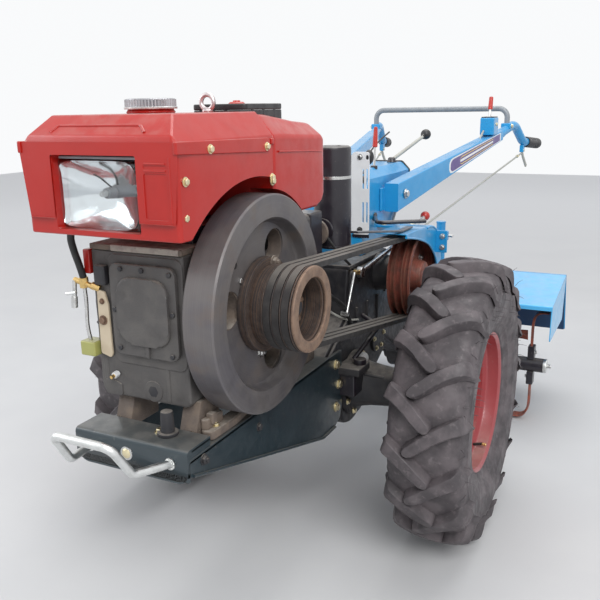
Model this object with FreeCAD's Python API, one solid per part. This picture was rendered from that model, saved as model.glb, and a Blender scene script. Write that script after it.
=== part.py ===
import FreeCAD, Part
import math
import os

# Walking tractor with a single-cylinder horizontal engine and a rotary tiller bolted on behind.
# Millimetres. +Z up, the front faces -Y, the machine's own left side is +X.
# Pieces are laid out with the wheel axle at Y = 0 and the ground at Z = 0,
# and all are moved along Y when they are written, which centres the outline over the origin.

V = FreeCAD.Vector
ALONG_X = V(1, 0, 0)
SIDES = (1, -1)

# Clearances
SEAT_GAP = 0.3
RUNNING_GAP = 0.05
TURN_GAP = 6.0
SLEEVE_GAP = 0.1

# How far one form runs into another that it is joined to, or past a face that it cuts
LAP = 1.0
# The reach of a cutting block that stands for a half space
FAR = 2000.0

# Drive wheels, 12 inch rims with lugged tyres
TRACK = 740.0
TYRE_R = 320.0
TYRE_W = 165.0
TYRE_WALL = 13.0
TYRE_SHOULDER_DROP = 12.0
TYRE_SHOULDER_W = 144.0
TYRE_BELLY_R = 243.0
TYRE_TREAD_T = 25.0
TYRE_SHOULDER_T = 21.0
TYRE_BEAD_RISE = 1.0
RIM_SEAT_R = 152.4
RIM_WALL = 4.0
RIM_FLANGE_R = 173.0
RIM_W = 126.0
RIM_DISC_INSET = 26.0
RIM_DISC_T = 7.0
WHEEL_BOLT_PCD = 150.0
WHEEL_BOLT_R = 7.0
WHEEL_BOLTS = 5
HUB_FLANGE_R = 95.0
HUB_FLANGE_T = 11.0
HUB_PILOT_R = 44.0
HUB_NOSE_R = 42.0
HUB_NOSE_L = 27.0
AXLE_R = 25.0

# Gearbox and axle housings
GEARBOX_HALF_W = 107.0
GEARBOX_FRONT_Y = -150.0
GEARBOX_REAR_Y = 235.0
GEARBOX_TOP_Z = 606.0
GEARBOX_BOTTOM_Z = 260.0
GEARBOX_TOP_FRONT_Y = -10.0
GEARBOX_NOSE_TOP_Z = 420.0
GEARBOX_NECK_Y = -25.0
GEARBOX_NECK_Z = 490.0
GEARBOX_HEEL_Y = 84.0
FINAL_DRIVE_R = 104.0
HOUSING_R = 46.0
HOUSING_FLANGE_R = 78.0
HOUSING_FLANGE_T = 14.0
HOUSING_END_GAP = 33.0

# Crankshaft line
CRANK_Y = -465.0
FLYWHEEL_R = 193.0
FLYWHEEL_OVER_RAIL = 11.0
FLYWHEEL_W = 57.0
FLYWHEEL_FACE_X = 150.0
FLYWHEEL_RECESS_R = 150.0
FLYWHEEL_RECESS_DEPTH = 20.0
FLYWHEEL_HOLE_R = 25.0
FLYWHEEL_HOLE_PCD = 208.0
FLYWHEEL_HOLES = 3
FLYWHEEL_HOLE_DEG = 50.0
PULLEY_FLANGE_R = 84.0
PULLEY_FLANGE_T = 12.0
PULLEY_R = 75.0
PULLEY_BORE_R = 53.0
PULLEY_BORE_DEPTH = 58.0
PULLEY_RING_T = 7.0
CRANK_R = 30.0
CRANK_IN_BLOCK = 60.0

# Clutch drum and belts
CLUTCH_Y = 175.0
CLUTCH_BELOW_TOP = 50.0
CLUTCH_R = 108.0
CLUTCH_SHAFT_R = 17.5
CLUTCH_BOSS_R = 42.0
CLUTCH_BOSS_END_X = 150.0
CLUTCH_SHAFT_DEPTH = 45.0
CLUTCH_WEB_T = 28.0
CLUTCH_RIM_T = 12.0
CLUTCH_HUB_R = 34.0
CLUTCH_HUB_PROUD = 6.0
BELT_COUNT = 3
BELT_PITCH = 17.0
BELT_W = 12.5
BELT_H = 10.0
BELT_FIRST_X = 176.0
BELT_GAP = 0.4
GROOVE_LIP = 5.0

# Frame under the engine
FRAME_HALF_W = 115.0
RAIL_T = 8.0
RAIL_FLANGE_W = 42.0
RAIL_FLANGE_T = 7.0
RAIL_TOP_Z = 428.0
RAIL_FRONT_H = 30.0
RAIL_REAR_BOTTOM_Z = 252.0
RAIL_REAR_Y = -84.0
RAIL_REAR_CORNER = 40.0
PLATE_OVER_RAIL = 18.0
PLATE_FRONT_Y = -694.0
PLATE_DEPTH = 66.0
PLATE_T = 6.0
PLATE_LIP_H = 60.0
PLATE_CORNER = 22.0

# Bumper bar
BUMPER_R = 7.0
BUMPER_BEND = 16.0
BUMPER_FOOT_DROP = 26.0
# The bar's corners on one side: from the middle, ahead of the lip, and above the foot
BUMPER_FOOT_X = 82.0
BUMPER_KNEE = (62.0, 68.0, 9.0)
BUMPER_TOP = (57.0, 106.0, 68.0)

# Engine
BLOCK_LEFT_X = 79.0
BLOCK_RIGHT_X = -108.0
BLOCK_FRONT_Y = -628.0
CRANKCASE_REAR_Y = -330.0
BLOCK_OVER_RAIL = 58.0
BLOCK_OVER_CRANK = 120.0
CRANK_BOSS_R = 82.0
CRANK_BOSS_T = 8.0
CYLINDER_REAR_Y = -128.0
CYLINDER_INSET = 18.0
CYLINDER_UNDER_CRANK = 102.0
CYLINDER_OVER_CRANK = 110.0
HEAD_L = 62.0
ROCKER_L = 34.0
ROCKER_INSET = 20.0
FOOT_W = 34.0
FOOT_L = 78.0
FOOT_YS = (-585.0, -205.0)
FOOT_OUT = 12.0
FOOT_ARM_X = 30.0
FOOT_ARM_T = 14.0
HEAD_DROP = 8.0
COVER_W = 132.0
COVER_H = 156.0
COVER_T = 9.0
COVER_X = 3.0
COVER_OVER_CRANK = 14.0
COVER_PANEL_T = 7.0
COVER_PANEL_INSET = 17.0
COVER_PANEL_RISE = 4.0
COVER_CORNER = 14.0

# Fuel tank and lamp housing
HOOD_LEFT_X = 142.0
HOOD_RIGHT_X = -158.0
TANK_OVER_BLOCK = 30.0
TANK_H = 173.0
TANK_SHOULDER_DROP = 40.0
TANK_TOP_FALL = 15.0
TANK_TOP_INSET = 34.0
TANK_REAR_Y = -222.0
TANK_REAR_SLOPE_Y = -292.0
TANK_REAR_DROP = 20.0
TANK_JOINT_Y = -430.0
TANK_NOSE_Y = -590.0
TANK_WALL = 4.0
TANK_SEAT_INSET = 14.0
TANK_SEAT_WALL = 8.0
TANK_ARCH_R = FLYWHEEL_R + TURN_GAP
HOUSING_FRONT_Y = -712.0
HOUSING_SHEET = 3.0
HOUSING_OVER_TANK = 5.0
HOUSING_SHOULDER_DROP = 39.0
HOUSING_FRONT_DROP = 38.0
HOUSING_SLOPE_L = 44.0
HOUSING_SKIRT = 6.0
# The housing's own arch: its radius beyond the flywheel's, and its centre ahead of and below the crank
HOUSING_ARCH_MORE = 53.0
HOUSING_ARCH_AHEAD = 55.0
HOUSING_ARCH_BELOW = 16.0
LAMP_W = 164.0
LAMP_H = 110.0
LAMP_X = -25.0
LAMP_OVER_TANK_BOTTOM = 68.0
LAMP_DEPTH = 55.0
LAMP_SET_BACK = 4.0
LAMP_FLANGE_W = 8.0
LAMP_FLANGE_T = 4.0
FILLER_BOX_X = (-26.0, 80.0)
FILLER_BOX_Y = (-427.0, -296.0)
FILLER_BOX_RISE = 15.0
FUEL_CAP_R = 42.0
FUEL_CAP_NECK_R = 36.0
FUEL_CAP_NECK_H = 6.0
FUEL_CAP_H = 23.0
FUEL_CAP_X = -8.0
FUEL_CAP_Y = -575.0
EYE_R = 13.0
EYE_WIRE_R = 3.6
EYE_COLLAR_R = 8.0
EYE_COLLAR_H = 6.0
EYE_X = 20.0
EYE_Y = -446.0

# Exhaust
MUFFLER_R = 44.0
MUFFLER_X = 42.0
MUFFLER_Y = 32.0
MUFFLER_H = 238.0
MUFFLER_PIPE_R = 17.0
MUFFLER_PIPE_OVER_FOOT = 50.0
MUFFLER_PIPE_DROP = 52.0
GUARD_T = 3.0
GUARD_W = 46.0
GUARD_IN_CONSOLE = 26.0
GUARD_H = 200.0
GUARD_LOW_H = 54.0
GUARD_SLOT_W = 4.0
# Each slot's low and high end above the strip's foot, and its place from the strip's outer edge
GUARD_SLOT_SPANS = ((30.0, 80.0), (112.0, 160.0))
GUARD_SLOT_EDGES = (8.0, 18.0)

# Fuel pump on the engine's right side
PUMP_W = 34.0
PUMP_L = 70.0
PUMP_H = 150.0
PUMP_Y = -560.0
PUMP_OVER_BASE = 74.0
PUMP_NECK_R = 10.0
PUMP_NECK_H = 24.0

# Handle console on the gearbox
CONSOLE_HALF_W = 84.0
CONSOLE_WALL = 5.0
CONSOLE_FRONT_Y = 112.0
CONSOLE_REAR_Y = 330.0
CONSOLE_H = 206.0
CONSOLE_TOP_FRONT_Y = 165.0
CONSOLE_TOP_REAR_Y = 470.0
CONSOLE_BACK_H = 52.0
CONSOLE_FRONT_H = 90.0
CONSOLE_REAR_H = 40.0
CONSOLE_CHAMFER = 22.0

# Handle beams, tubes and grips, with heights above the console's top
BEAM_START_X = 105.0
BEAM_START_Y = 232.0
BEAM_START_RISE = -81.0
BEAM_END_X = 221.0
BEAM_END_Y = 985.0
BEAM_END_RISE = 52.0
BEAM_START_H = 74.0
BEAM_END_H = 32.0
BEAM_START_W = 38.0
BEAM_END_W = 36.0
BEAM_WALL = 3.5
BEAM_PAD_L = 120.0
BEAM_PAD_HALF_H = 30.0
BEAM_PAD_LAP = 10.0
TUBE_R = 15.0
TUBE_BEND = 60.0
TUBE_RISE = 34.0
TUBE_TOP_SHARE = 0.38
TUBE_LOW_SHARE = 0.62
TUBE_LOW_RISE = 12.0
GRIP_R = 19.0
GRIP_L = 112.0
GRIP_END_T = 5.0
TUBE_END_X = 293.0
TUBE_END_Y = 1324.0
TUBE_END_RISE = 10.0
BOW_R = 9.0
BOW_HALF_W = 236.0
BOW_Y = 1052.0
BOW_RISE = 74.0
BOW_BEND = 40.0
BOW_FOOT_SHARE = 0.35
BOW_FOOT_OUT = 0.0

# Levers and rods
KNOB_R = 15.0
SIDE_KNOB_R = 13.0
LEVER_R = 6.0
LEVER_BOSS_R = 13.0
LEVER_BOSS_H = 14.0
GEAR_LEVER_FOOT = (30.0, 400.0)
GEAR_KNOB = (52.0, 560.0)
GEAR_KNOB_RISE = 93.0
SIDE_LEVER_Y = 30.0
SIDE_LEVER_DROP = 21.0
SIDE_KNOB = (150.0, 420.0)
SIDE_KNOB_RISE = 61.0
STEER_BRACKET_L = 24.0
STEER_BRACKET_W = 14.0
STEER_BRACKET_DROP = 22.0
STEER_PIVOT_DROP = 16.0
STEER_TO_GRIP = 20.0
STEER_LEVER_DROP = 74.0
STEER_LEVER_L = 60.0
STEER_LEVER_OUT = 6.0
THROTTLE_BOX = (46.0, 66.0, 58.0)
THROTTLE_Y = 905.0
THROTTLE_LEVER_H = 50.0
THROTTLE_LEVER_LEAN = 12.0
ROD_R = 3.5
ROD_TOP_AHEAD = 8.0
ROD_FOOT_IN = 12.0
ROD_FOOT_DROP = 24.0

# Belt guard over the clutch drum
BELT_GUARD_CLEAR = 20.0
BELT_GUARD_T = 3.0
BELT_GUARD_X = (160.0, 238.0)
BELT_GUARD_ANGLES = (98.0, -12.0)
BELT_STAY_DEG = 60.0
BELT_STAY_HALF_L = 20.0
BELT_STAY_T = 6.0
BELT_STAY_LAP = 20.0
GUARD_ROD_R = 5.0
GUARD_ROD_BEND = 18.0
GUARD_ROD_FOOT_BACK = 88.0
GUARD_ROD_CORNER = (42.0, 6.0)
GUARD_ROD_IN = 10.0

# Tiller
ROTOR_Y = 690.0
ROTOR_Z = 180.0
ROTOR_TUBE_R = 22.0
ROTOR_HALF_L = 468.0
ROTOR_FLANGE_T = 10.0
ROTOR_STUB_R = 6.0
ROTOR_STUB_L = 12.0
ROTOR_CORE_R = 16.0
TINE_REACH = 174.0
TINE_PITCH = 84.0
TINE_FIRST_X = 84.0
TINES_PER_SIDE = 5
TINE_STEM_W = 22.0
TINE_STEM_T = 8.0
TINE_FOOT_L = 46.0
TINE_FOOT_W = 40.0
TINE_STEP_DEG = 72.0
TINE_SIDE_DEG = 36.0
TINE_GAP = 0.2
TILLER_CASE_HALF_W = 36.0
TILLER_CASE_R = 62.0
ROTOR_FLANGE_R = 40.0
TILLER_NECK_REAR = (20.0, 20.0)
TILLER_NECK_FRONT = (40.0, 20.0)
TILLER_NECK_START_Y = 355.0
TILLER_MOUNT_REAR_Y = 365.0
TILLER_MOUNT_HALF_W = 70.0
TILLER_MOUNT_Z = (330.0, 470.0)
TILLER_BEAM_Z = 366.0
TILLER_BEAM_W = 50.0
TILLER_BEAM_H = 26.0
TILLER_BEAM_AHEAD = 30.0
TILLER_PAD_Y = (590.0, 650.0)
TILLER_PAD_H = 44.0
TILLER_PAD_Z = 474.0
TILLER_COVER_HALF_W = 482.0
TILLER_COVER_T = 3.0
TILLER_COVER_FRONT = (612.0, 392.0)
TILLER_COVER_REAR = (896.0, 430.0)
TILLER_COVER_LIP_H = 16.0
TILLER_FLAP_END = (970.0, 224.0)
TILLER_END_TIP = (600.0, 285.0)
TILLER_END_LOW = (860.0, 287.0)
TILLER_SLOT_REAR_Y = 710.0

# Depth wheel behind the tiller
TAIL_R = 112.0
TAIL_W = 62.0
TAIL_Y = 1120.0
TAIL_AXLE_R = 10.0
TAIL_FORK_T = 7.0
TAIL_STEM_R = 17.0
TAIL_STEM_TOP_Z = 545.0
TAIL_ARM_HALF_W = 18.0
TAIL_ARM_H = 34.0
TAIL_TYRE_T = 26.0
TAIL_CROWN_DROP = 8.0
TAIL_WEB_HALF_T = 8.0
TAIL_HUB_R = 24.0
TAIL_CHEEK_HALF_L = 20.0
TAIL_CROWN_HALF_L = 24.0
TAIL_CROWN_GAP = 26.0
TAIL_CROWN_T = 10.0
TAIL_ARM_PAST = 30.0
TAIL_PIN_PROUD = 6.0

AXLE_Z = TYRE_R
RIM_DISC_X = TRACK / 2 - RIM_DISC_INSET
HOUSING_END_X = RIM_DISC_X - HUB_FLANGE_T - HOUSING_END_GAP
CLUTCH_Z = GEARBOX_TOP_Z - CLUTCH_BELOW_TOP
PLATE_TOP_Z = RAIL_TOP_Z + PLATE_OVER_RAIL
CRANK_Z = RAIL_TOP_Z + FLYWHEEL_R + FLYWHEEL_OVER_RAIL
BLOCK_BOTTOM_Z = RAIL_TOP_Z + BLOCK_OVER_RAIL
BLOCK_TOP_Z = CRANK_Z + BLOCK_OVER_CRANK
CYLINDER_BOTTOM_Z = CRANK_Z - CYLINDER_UNDER_CRANK
CYLINDER_TOP_Z = CRANK_Z + CYLINDER_OVER_CRANK
COVER_Z = CRANK_Z + COVER_OVER_CRANK
PUMP_Z = BLOCK_BOTTOM_Z + PUMP_OVER_BASE
TANK_BOTTOM_Z = BLOCK_TOP_Z + TANK_OVER_BLOCK
TANK_TOP_Z = TANK_BOTTOM_Z + TANK_H
TANK_SHOULDER_Z = TANK_TOP_Z - TANK_SHOULDER_DROP
TANK_TOP_REAR_Z = TANK_TOP_Z - TANK_TOP_FALL
TANK_REAR_SLOPE_Z = TANK_TOP_Z - TANK_REAR_DROP
HOUSING_TOP_Z = TANK_TOP_Z + HOUSING_OVER_TANK
HOUSING_SHOULDER_Z = HOUSING_TOP_Z - HOUSING_SHOULDER_DROP
HOUSING_TOP_FRONT_Z = HOUSING_TOP_Z - HOUSING_FRONT_DROP
HOUSING_BOTTOM_Z = TANK_BOTTOM_Z - HOUSING_SKIRT
LAMP_Z = TANK_BOTTOM_Z + LAMP_OVER_TANK_BOTTOM
FILLER_BOX_TOP_Z = TANK_TOP_Z + FILLER_BOX_RISE
MUFFLER_PIPE_Z = CYLINDER_TOP_Z - MUFFLER_PIPE_DROP
MUFFLER_BOTTOM_Z = MUFFLER_PIPE_Z - MUFFLER_PIPE_OVER_FOOT
MUFFLER_TOP_Z = MUFFLER_BOTTOM_Z + MUFFLER_H
CONSOLE_TOP_Z = GEARBOX_TOP_Z + CONSOLE_H
CONSOLE_BACK_Z = CONSOLE_TOP_Z - CONSOLE_BACK_H
GUARD_LOW_Z = GEARBOX_TOP_Z + GUARD_LOW_H
BEAM_START = (BEAM_START_X, BEAM_START_Y, CONSOLE_TOP_Z + BEAM_START_RISE)
BEAM_END = (BEAM_END_X, BEAM_END_Y, CONSOLE_TOP_Z + BEAM_END_RISE)
TUBE_END = (TUBE_END_X, TUBE_END_Y, CONSOLE_TOP_Z + TUBE_END_RISE)
BELT_GUARD_R = CLUTCH_R + BELT_GUARD_CLEAR
CRANK_BORE_X = BLOCK_LEFT_X + CRANK_BOSS_T - CRANK_IN_BLOCK
FRONT_END_Y = PLATE_FRONT_Y - BUMPER_TOP[1] - BUMPER_R
PULLEY_START_X = FLYWHEEL_FACE_X - FLYWHEEL_RECESS_DEPTH
BELTS_END_X = BELT_FIRST_X + BELT_PITCH * (BELT_COUNT - 1) + BELT_W / 2
PULLEY_END_X = BELTS_END_X + GROOVE_LIP + PULLEY_RING_T
HEAD_REAR_Y = CYLINDER_REAR_Y + HEAD_L
ROCKER_REAR_Y = HEAD_REAR_Y + ROCKER_L


def box(x0, x1, y0, y1, z0, z1):
    """A block between three pairs of planes."""
    return Part.makeBox(x1 - x0, y1 - y0, z1 - z0, V(x0, y0, z0))


def rod(start, end, radius):
    """A round bar between two points."""
    start = V(*start)
    run = V(*end) - start
    return Part.makeCylinder(radius, run.Length, start, run)


def disc_x(x0, x1, y, z, radius):
    """A cylinder that lies along X."""
    return Part.makeCylinder(radius, x1 - x0, V(x0, y, z), ALONG_X)


def disc_z(x, y, z0, z1, radius):
    """An upright cylinder."""
    return Part.makeCylinder(radius, z1 - z0, V(x, y, z0))


def side_prism(outline, x0, x1):
    """An outline of (y, z) points, as thick as x0 to x1."""
    corners = [V(x0, y, z) for y, z in outline]
    face = Part.Face(Part.makePolygon(corners + corners[:1]))
    return face.extrude(V(x1 - x0, 0, 0))


def front_prism(outline, y0, y1):
    """An outline of (x, z) points, as thick as y0 to y1."""
    corners = [V(x, y0, z) for x, z in outline]
    face = Part.Face(Part.makePolygon(corners + corners[:1]))
    return face.extrude(V(0, y1 - y0, 0))


def turned(edges, x, y, z):
    """A solid turned about a line along X; the edges are in (offset along X, radius)."""
    face = Part.Face(Part.Wire(edges))
    solid = face.revolve(V(0, 0, 0), ALONG_X, 360)
    solid.translate(V(x, y, z))
    return solid


def line(a, b):
    """A straight edge in the turning plane."""
    return Part.LineSegment(V(a[0], 0, a[1]), V(b[0], 0, b[1])).toShape()


def arc(a, b, c):
    """An arc through three points in the turning plane."""
    return Part.Arc(V(a[0], 0, a[1]), V(b[0], 0, b[1]), V(c[0], 0, c[1])).toShape()


def loop(points):
    """Straight edges round a closed outline in the turning plane."""
    return [line(a, b) for a, b in zip(points, points[1:] + points[:1])]


def bent_path(points, bend):
    """Straight runs joined by tangent arcs of one radius."""
    points = [V(*p) for p in points]
    edges = []
    last = points[0]
    for before, corner, after in zip(points, points[1:], points[2:]):
        back = (before - corner).normalize()
        ahead = (after - corner).normalize()
        half = back.getAngle(ahead) / 2
        reach = bend / math.tan(half)
        inner = corner + (back + ahead).normalize() * (bend / math.sin(half) - bend)
        start = corner + back * reach
        end = corner + ahead * reach
        edges.append(Part.LineSegment(last, start).toShape())
        edges.append(Part.Arc(start, inner, end).toShape())
        last = end
    edges.append(Part.LineSegment(last, points[-1]).toShape())
    return Part.Wire(edges)


def bent_bar(points, radius, bend):
    """A round bar along straight runs and arcs."""
    path = bent_path(points, bend)
    along = V(*points[1]) - V(*points[0])
    section = Part.Wire(Part.makeCircle(radius, V(*points[0]), along))
    return path.makePipeShell([section], True, False)


def mirrored(solid):
    """The same piece on the machine's other side."""
    return solid.mirror(V(0, 0, 0), ALONG_X)


def both_sides(solid):
    """A piece and its mirror image, as two solids of one node."""
    return Part.makeCompound([solid, mirrored(solid)])


def ring_places(count, radius, y, z, first_deg=90.0):
    """Points evenly round a circle that faces along X, as (y, z)."""
    steps = [math.radians(first_deg + 360.0 * n / count) for n in range(count)]
    return [(y + radius * math.cos(a), z + radius * math.sin(a)) for a in steps]


def tyre(x):
    """A tyre shell that reaches from bead to bead over the rim."""
    half = TYRE_W / 2
    shoulder = (TYRE_SHOULDER_W / 2, TYRE_R - TYRE_SHOULDER_DROP)
    bead = (RIM_W / 2 - RIM_WALL - SEAT_GAP, RIM_SEAT_R + SEAT_GAP)
    bead_top = (bead[0], RIM_FLANGE_R + TYRE_BEAD_RISE)
    inner_bead = (bead[0] - TYRE_WALL, bead[1])
    inner_belly = (half - TYRE_WALL, TYRE_BELLY_R)
    inner_shoulder = (shoulder[0] - TYRE_WALL, shoulder[1] - TYRE_SHOULDER_T)
    crown_in = (0, TYRE_R - TYRE_TREAD_T)

    def flip(p):
        return (-p[0], p[1])

    belly = (half, TYRE_BELLY_R)
    edges = [
        arc(flip(shoulder), (0, TYRE_R), shoulder),
        arc(shoulder, belly, bead_top),
        line(bead_top, bead),
        line(bead, inner_bead),
        arc(inner_bead, inner_belly, inner_shoulder),
        arc(inner_shoulder, crown_in, flip(inner_shoulder)),
        arc(flip(inner_shoulder), flip(inner_belly), flip(inner_bead)),
        line(flip(inner_bead), flip(bead)),
        line(flip(bead), flip(bead_top)),
        arc(flip(bead_top), flip(belly), flip(shoulder)),
    ]
    return turned(edges, x, 0, AXLE_Z)


def rim(x, disc_x0):
    """A pressed rim: barrel, two flanges and a bolted disc."""
    half = RIM_W / 2
    inside = RIM_SEAT_R - RIM_WALL
    barrel = turned(loop([
        (-half, RIM_FLANGE_R), (-half + RIM_WALL, RIM_FLANGE_R), (-half + RIM_WALL, RIM_SEAT_R),
        (half - RIM_WALL, RIM_SEAT_R), (half - RIM_WALL, RIM_FLANGE_R), (half, RIM_FLANGE_R),
        (half, inside), (-half, inside),
    ]), x, 0, AXLE_Z)
    plate = disc_x(disc_x0, disc_x0 + RIM_DISC_T, 0, AXLE_Z, inside + RIM_WALL / 2)
    disc_x1 = disc_x0 + RIM_DISC_T
    plate = plate.cut(disc_x(disc_x0 - LAP, disc_x1 + LAP, 0, AXLE_Z, HUB_PILOT_R + SEAT_GAP))
    for y, z in ring_places(WHEEL_BOLTS, WHEEL_BOLT_PCD / 2, 0, AXLE_Z):
        plate = plate.cut(disc_x(disc_x0 - LAP, disc_x1 + LAP, y, z, WHEEL_BOLT_R))
    return barrel.fuse(plate).removeSplitter()


def axle():
    """A wheel hub with its shaft, which turns in the axle housing."""
    flange_x0 = RIM_DISC_X - HUB_FLANGE_T
    solid = disc_x(flange_x0, RIM_DISC_X, 0, AXLE_Z, HUB_FLANGE_R)
    pilot_end = RIM_DISC_X + RIM_DISC_T
    solid = solid.fuse(disc_x(RIM_DISC_X - LAP, pilot_end, 0, AXLE_Z, HUB_PILOT_R))
    solid = solid.fuse(disc_x(pilot_end - LAP, pilot_end + HUB_NOSE_L, 0, AXLE_Z, HUB_NOSE_R))
    shaft_start = GEARBOX_HALF_W + HOUSING_FLANGE_T
    solid = solid.fuse(disc_x(shaft_start, RIM_DISC_X, 0, AXLE_Z, AXLE_R))
    for y, z in ring_places(WHEEL_BOLTS, WHEEL_BOLT_PCD / 2, 0, AXLE_Z):
        solid = solid.cut(disc_x(flange_x0 - LAP, RIM_DISC_X + LAP, y, z, WHEEL_BOLT_R))
    return solid.removeSplitter()


def axle_housing():
    """A trumpet housing bolted to the gearbox side."""
    flange_end = GEARBOX_HALF_W + HOUSING_FLANGE_T
    solid = disc_x(GEARBOX_HALF_W, flange_end, 0, AXLE_Z, HOUSING_FLANGE_R)
    solid = solid.fuse(disc_x(flange_end - LAP, HOUSING_END_X, 0, AXLE_Z, HOUSING_R))
    bore_start = GEARBOX_HALF_W + HOUSING_FLANGE_T / 2
    bore = disc_x(bore_start, HOUSING_END_X + LAP, 0, AXLE_Z, AXLE_R + RUNNING_GAP)
    return solid.cut(bore).removeSplitter()


def gearbox():
    """The cast gearbox: final drive round the axle, main case above and behind it."""
    lower = disc_x(-GEARBOX_HALF_W, GEARBOX_HALF_W, 0, AXLE_Z, FINAL_DRIVE_R)
    case = side_prism([
        (GEARBOX_FRONT_Y, GEARBOX_BOTTOM_Z), (GEARBOX_FRONT_Y, GEARBOX_NOSE_TOP_Z),
        (GEARBOX_NECK_Y, GEARBOX_NECK_Z), (GEARBOX_TOP_FRONT_Y, GEARBOX_TOP_Z),
        (GEARBOX_REAR_Y, GEARBOX_TOP_Z), (GEARBOX_REAR_Y, AXLE_Z), (GEARBOX_HEEL_Y, GEARBOX_BOTTOM_Z),
    ], -GEARBOX_HALF_W, GEARBOX_HALF_W)
    boss = disc_x(GEARBOX_HALF_W - LAP, CLUTCH_BOSS_END_X, CLUTCH_Y, CLUTCH_Z, CLUTCH_BOSS_R)
    bore_start = CLUTCH_BOSS_END_X - CLUTCH_SHAFT_DEPTH
    bore = disc_x(bore_start, CLUTCH_BOSS_END_X + LAP, CLUTCH_Y, CLUTCH_Z, CLUTCH_SHAFT_R + RUNNING_GAP)
    return lower.fuse(case).fuse(boss).cut(bore).removeSplitter()


def grooved_wheel(radius, x0, x1, y, z):
    """A belt wheel with one square groove for each belt."""
    solid = disc_x(x0, x1, y, z, radius)
    root = radius - BELT_H - BELT_GAP
    for n in range(BELT_COUNT):
        middle = BELT_FIRST_X + BELT_PITCH * n
        half = BELT_W / 2 + BELT_GAP
        groove = disc_x(middle - half, middle + half, y, z, radius + LAP)
        groove = groove.cut(disc_x(middle - half - LAP, middle + half + LAP, y, z, root))
        solid = solid.cut(groove)
    return solid


def flywheel():
    """The flywheel with its recessed face, its web holes and the end of the crankshaft."""
    back_x = FLYWHEEL_FACE_X - FLYWHEEL_W
    web_x = FLYWHEEL_FACE_X - FLYWHEEL_RECESS_DEPTH
    solid = disc_x(back_x, FLYWHEEL_FACE_X, CRANK_Y, CRANK_Z, FLYWHEEL_R)
    solid = solid.cut(disc_x(web_x, FLYWHEEL_FACE_X + LAP, CRANK_Y, CRANK_Z, FLYWHEEL_RECESS_R))
    for y, z in ring_places(FLYWHEEL_HOLES, FLYWHEEL_HOLE_PCD / 2, CRANK_Y, CRANK_Z, FLYWHEEL_HOLE_DEG):
        solid = solid.cut(disc_x(back_x - LAP, web_x + LAP, y, z, FLYWHEEL_HOLE_R))
    shaft_start = CRANK_BORE_X + LAP
    return solid.fuse(disc_x(shaft_start, back_x + LAP, CRANK_Y, CRANK_Z, CRANK_R)).removeSplitter()


def drive_pulley():
    """The belt pulley bolted to the flywheel, with its open bore."""
    flange = disc_x(PULLEY_START_X, PULLEY_START_X + PULLEY_FLANGE_T, CRANK_Y, CRANK_Z, PULLEY_FLANGE_R)
    wheel = grooved_wheel(PULLEY_R, PULLEY_START_X + LAP, PULLEY_END_X, CRANK_Y, CRANK_Z)
    bore_start = PULLEY_END_X - PULLEY_BORE_DEPTH
    bore = disc_x(bore_start, PULLEY_END_X + LAP, CRANK_Y, CRANK_Z, PULLEY_BORE_R)
    return flange.fuse(wheel).cut(bore).removeSplitter()


def clutch_drum():
    """The grooved clutch drum with its shaft into the gearbox."""
    start = BELT_FIRST_X - BELT_W / 2 - GROOVE_LIP
    end = BELTS_END_X + GROOVE_LIP
    drum = grooved_wheel(CLUTCH_R, start, end, CLUTCH_Y, CLUTCH_Z)
    dish_start = start + CLUTCH_WEB_T
    dish = disc_x(dish_start, end + LAP, CLUTCH_Y, CLUTCH_Z, CLUTCH_R - BELT_H - CLUTCH_RIM_T)
    hub = disc_x(dish_start - LAP, end + CLUTCH_HUB_PROUD, CLUTCH_Y, CLUTCH_Z, CLUTCH_HUB_R)
    shaft_start = CLUTCH_BOSS_END_X - CLUTCH_SHAFT_DEPTH + LAP
    shaft = disc_x(shaft_start, start + LAP, CLUTCH_Y, CLUTCH_Z, CLUTCH_SHAFT_R)
    return drum.cut(dish).fuse(hub).fuse(shaft).removeSplitter()


def belt_outline(inset, x):
    """The closed loop round pulley and drum, at a depth below the belt's top."""
    small = PULLEY_R - inset
    large = CLUTCH_R - inset
    run = V(0, CLUTCH_Y - CRANK_Y, CLUTCH_Z - CRANK_Z)
    away = V(run).normalize()
    across = V(0, -away.z, away.y)
    cosine = (small - large) / run.Length
    sine = math.sqrt(1 - cosine * cosine)
    upper = away * cosine + across * sine
    lower = away * cosine - across * sine
    crank = V(x, CRANK_Y, CRANK_Z)
    clutch = V(x, CLUTCH_Y, CLUTCH_Z)
    return Part.Wire([
        Part.LineSegment(crank + upper * small, clutch + upper * large).toShape(),
        Part.Arc(clutch + upper * large, clutch + away * large, clutch + lower * large).toShape(),
        Part.LineSegment(clutch + lower * large, crank + lower * small).toShape(),
        Part.Arc(crank + lower * small, crank - away * small, crank + upper * small).toShape(),
    ])


def drive_belts():
    """The belts as separate closed loops."""
    belts = []
    for n in range(BELT_COUNT):
        x0 = BELT_FIRST_X + BELT_PITCH * n - BELT_W / 2
        outer = Part.Face(belt_outline(0, x0)).extrude(V(BELT_W, 0, 0))
        inner = Part.Face(belt_outline(BELT_H, x0)).extrude(V(BELT_W, 0, 0))
        belts.append(outer.cut(inner))
    return Part.makeCompound(belts)


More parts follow.
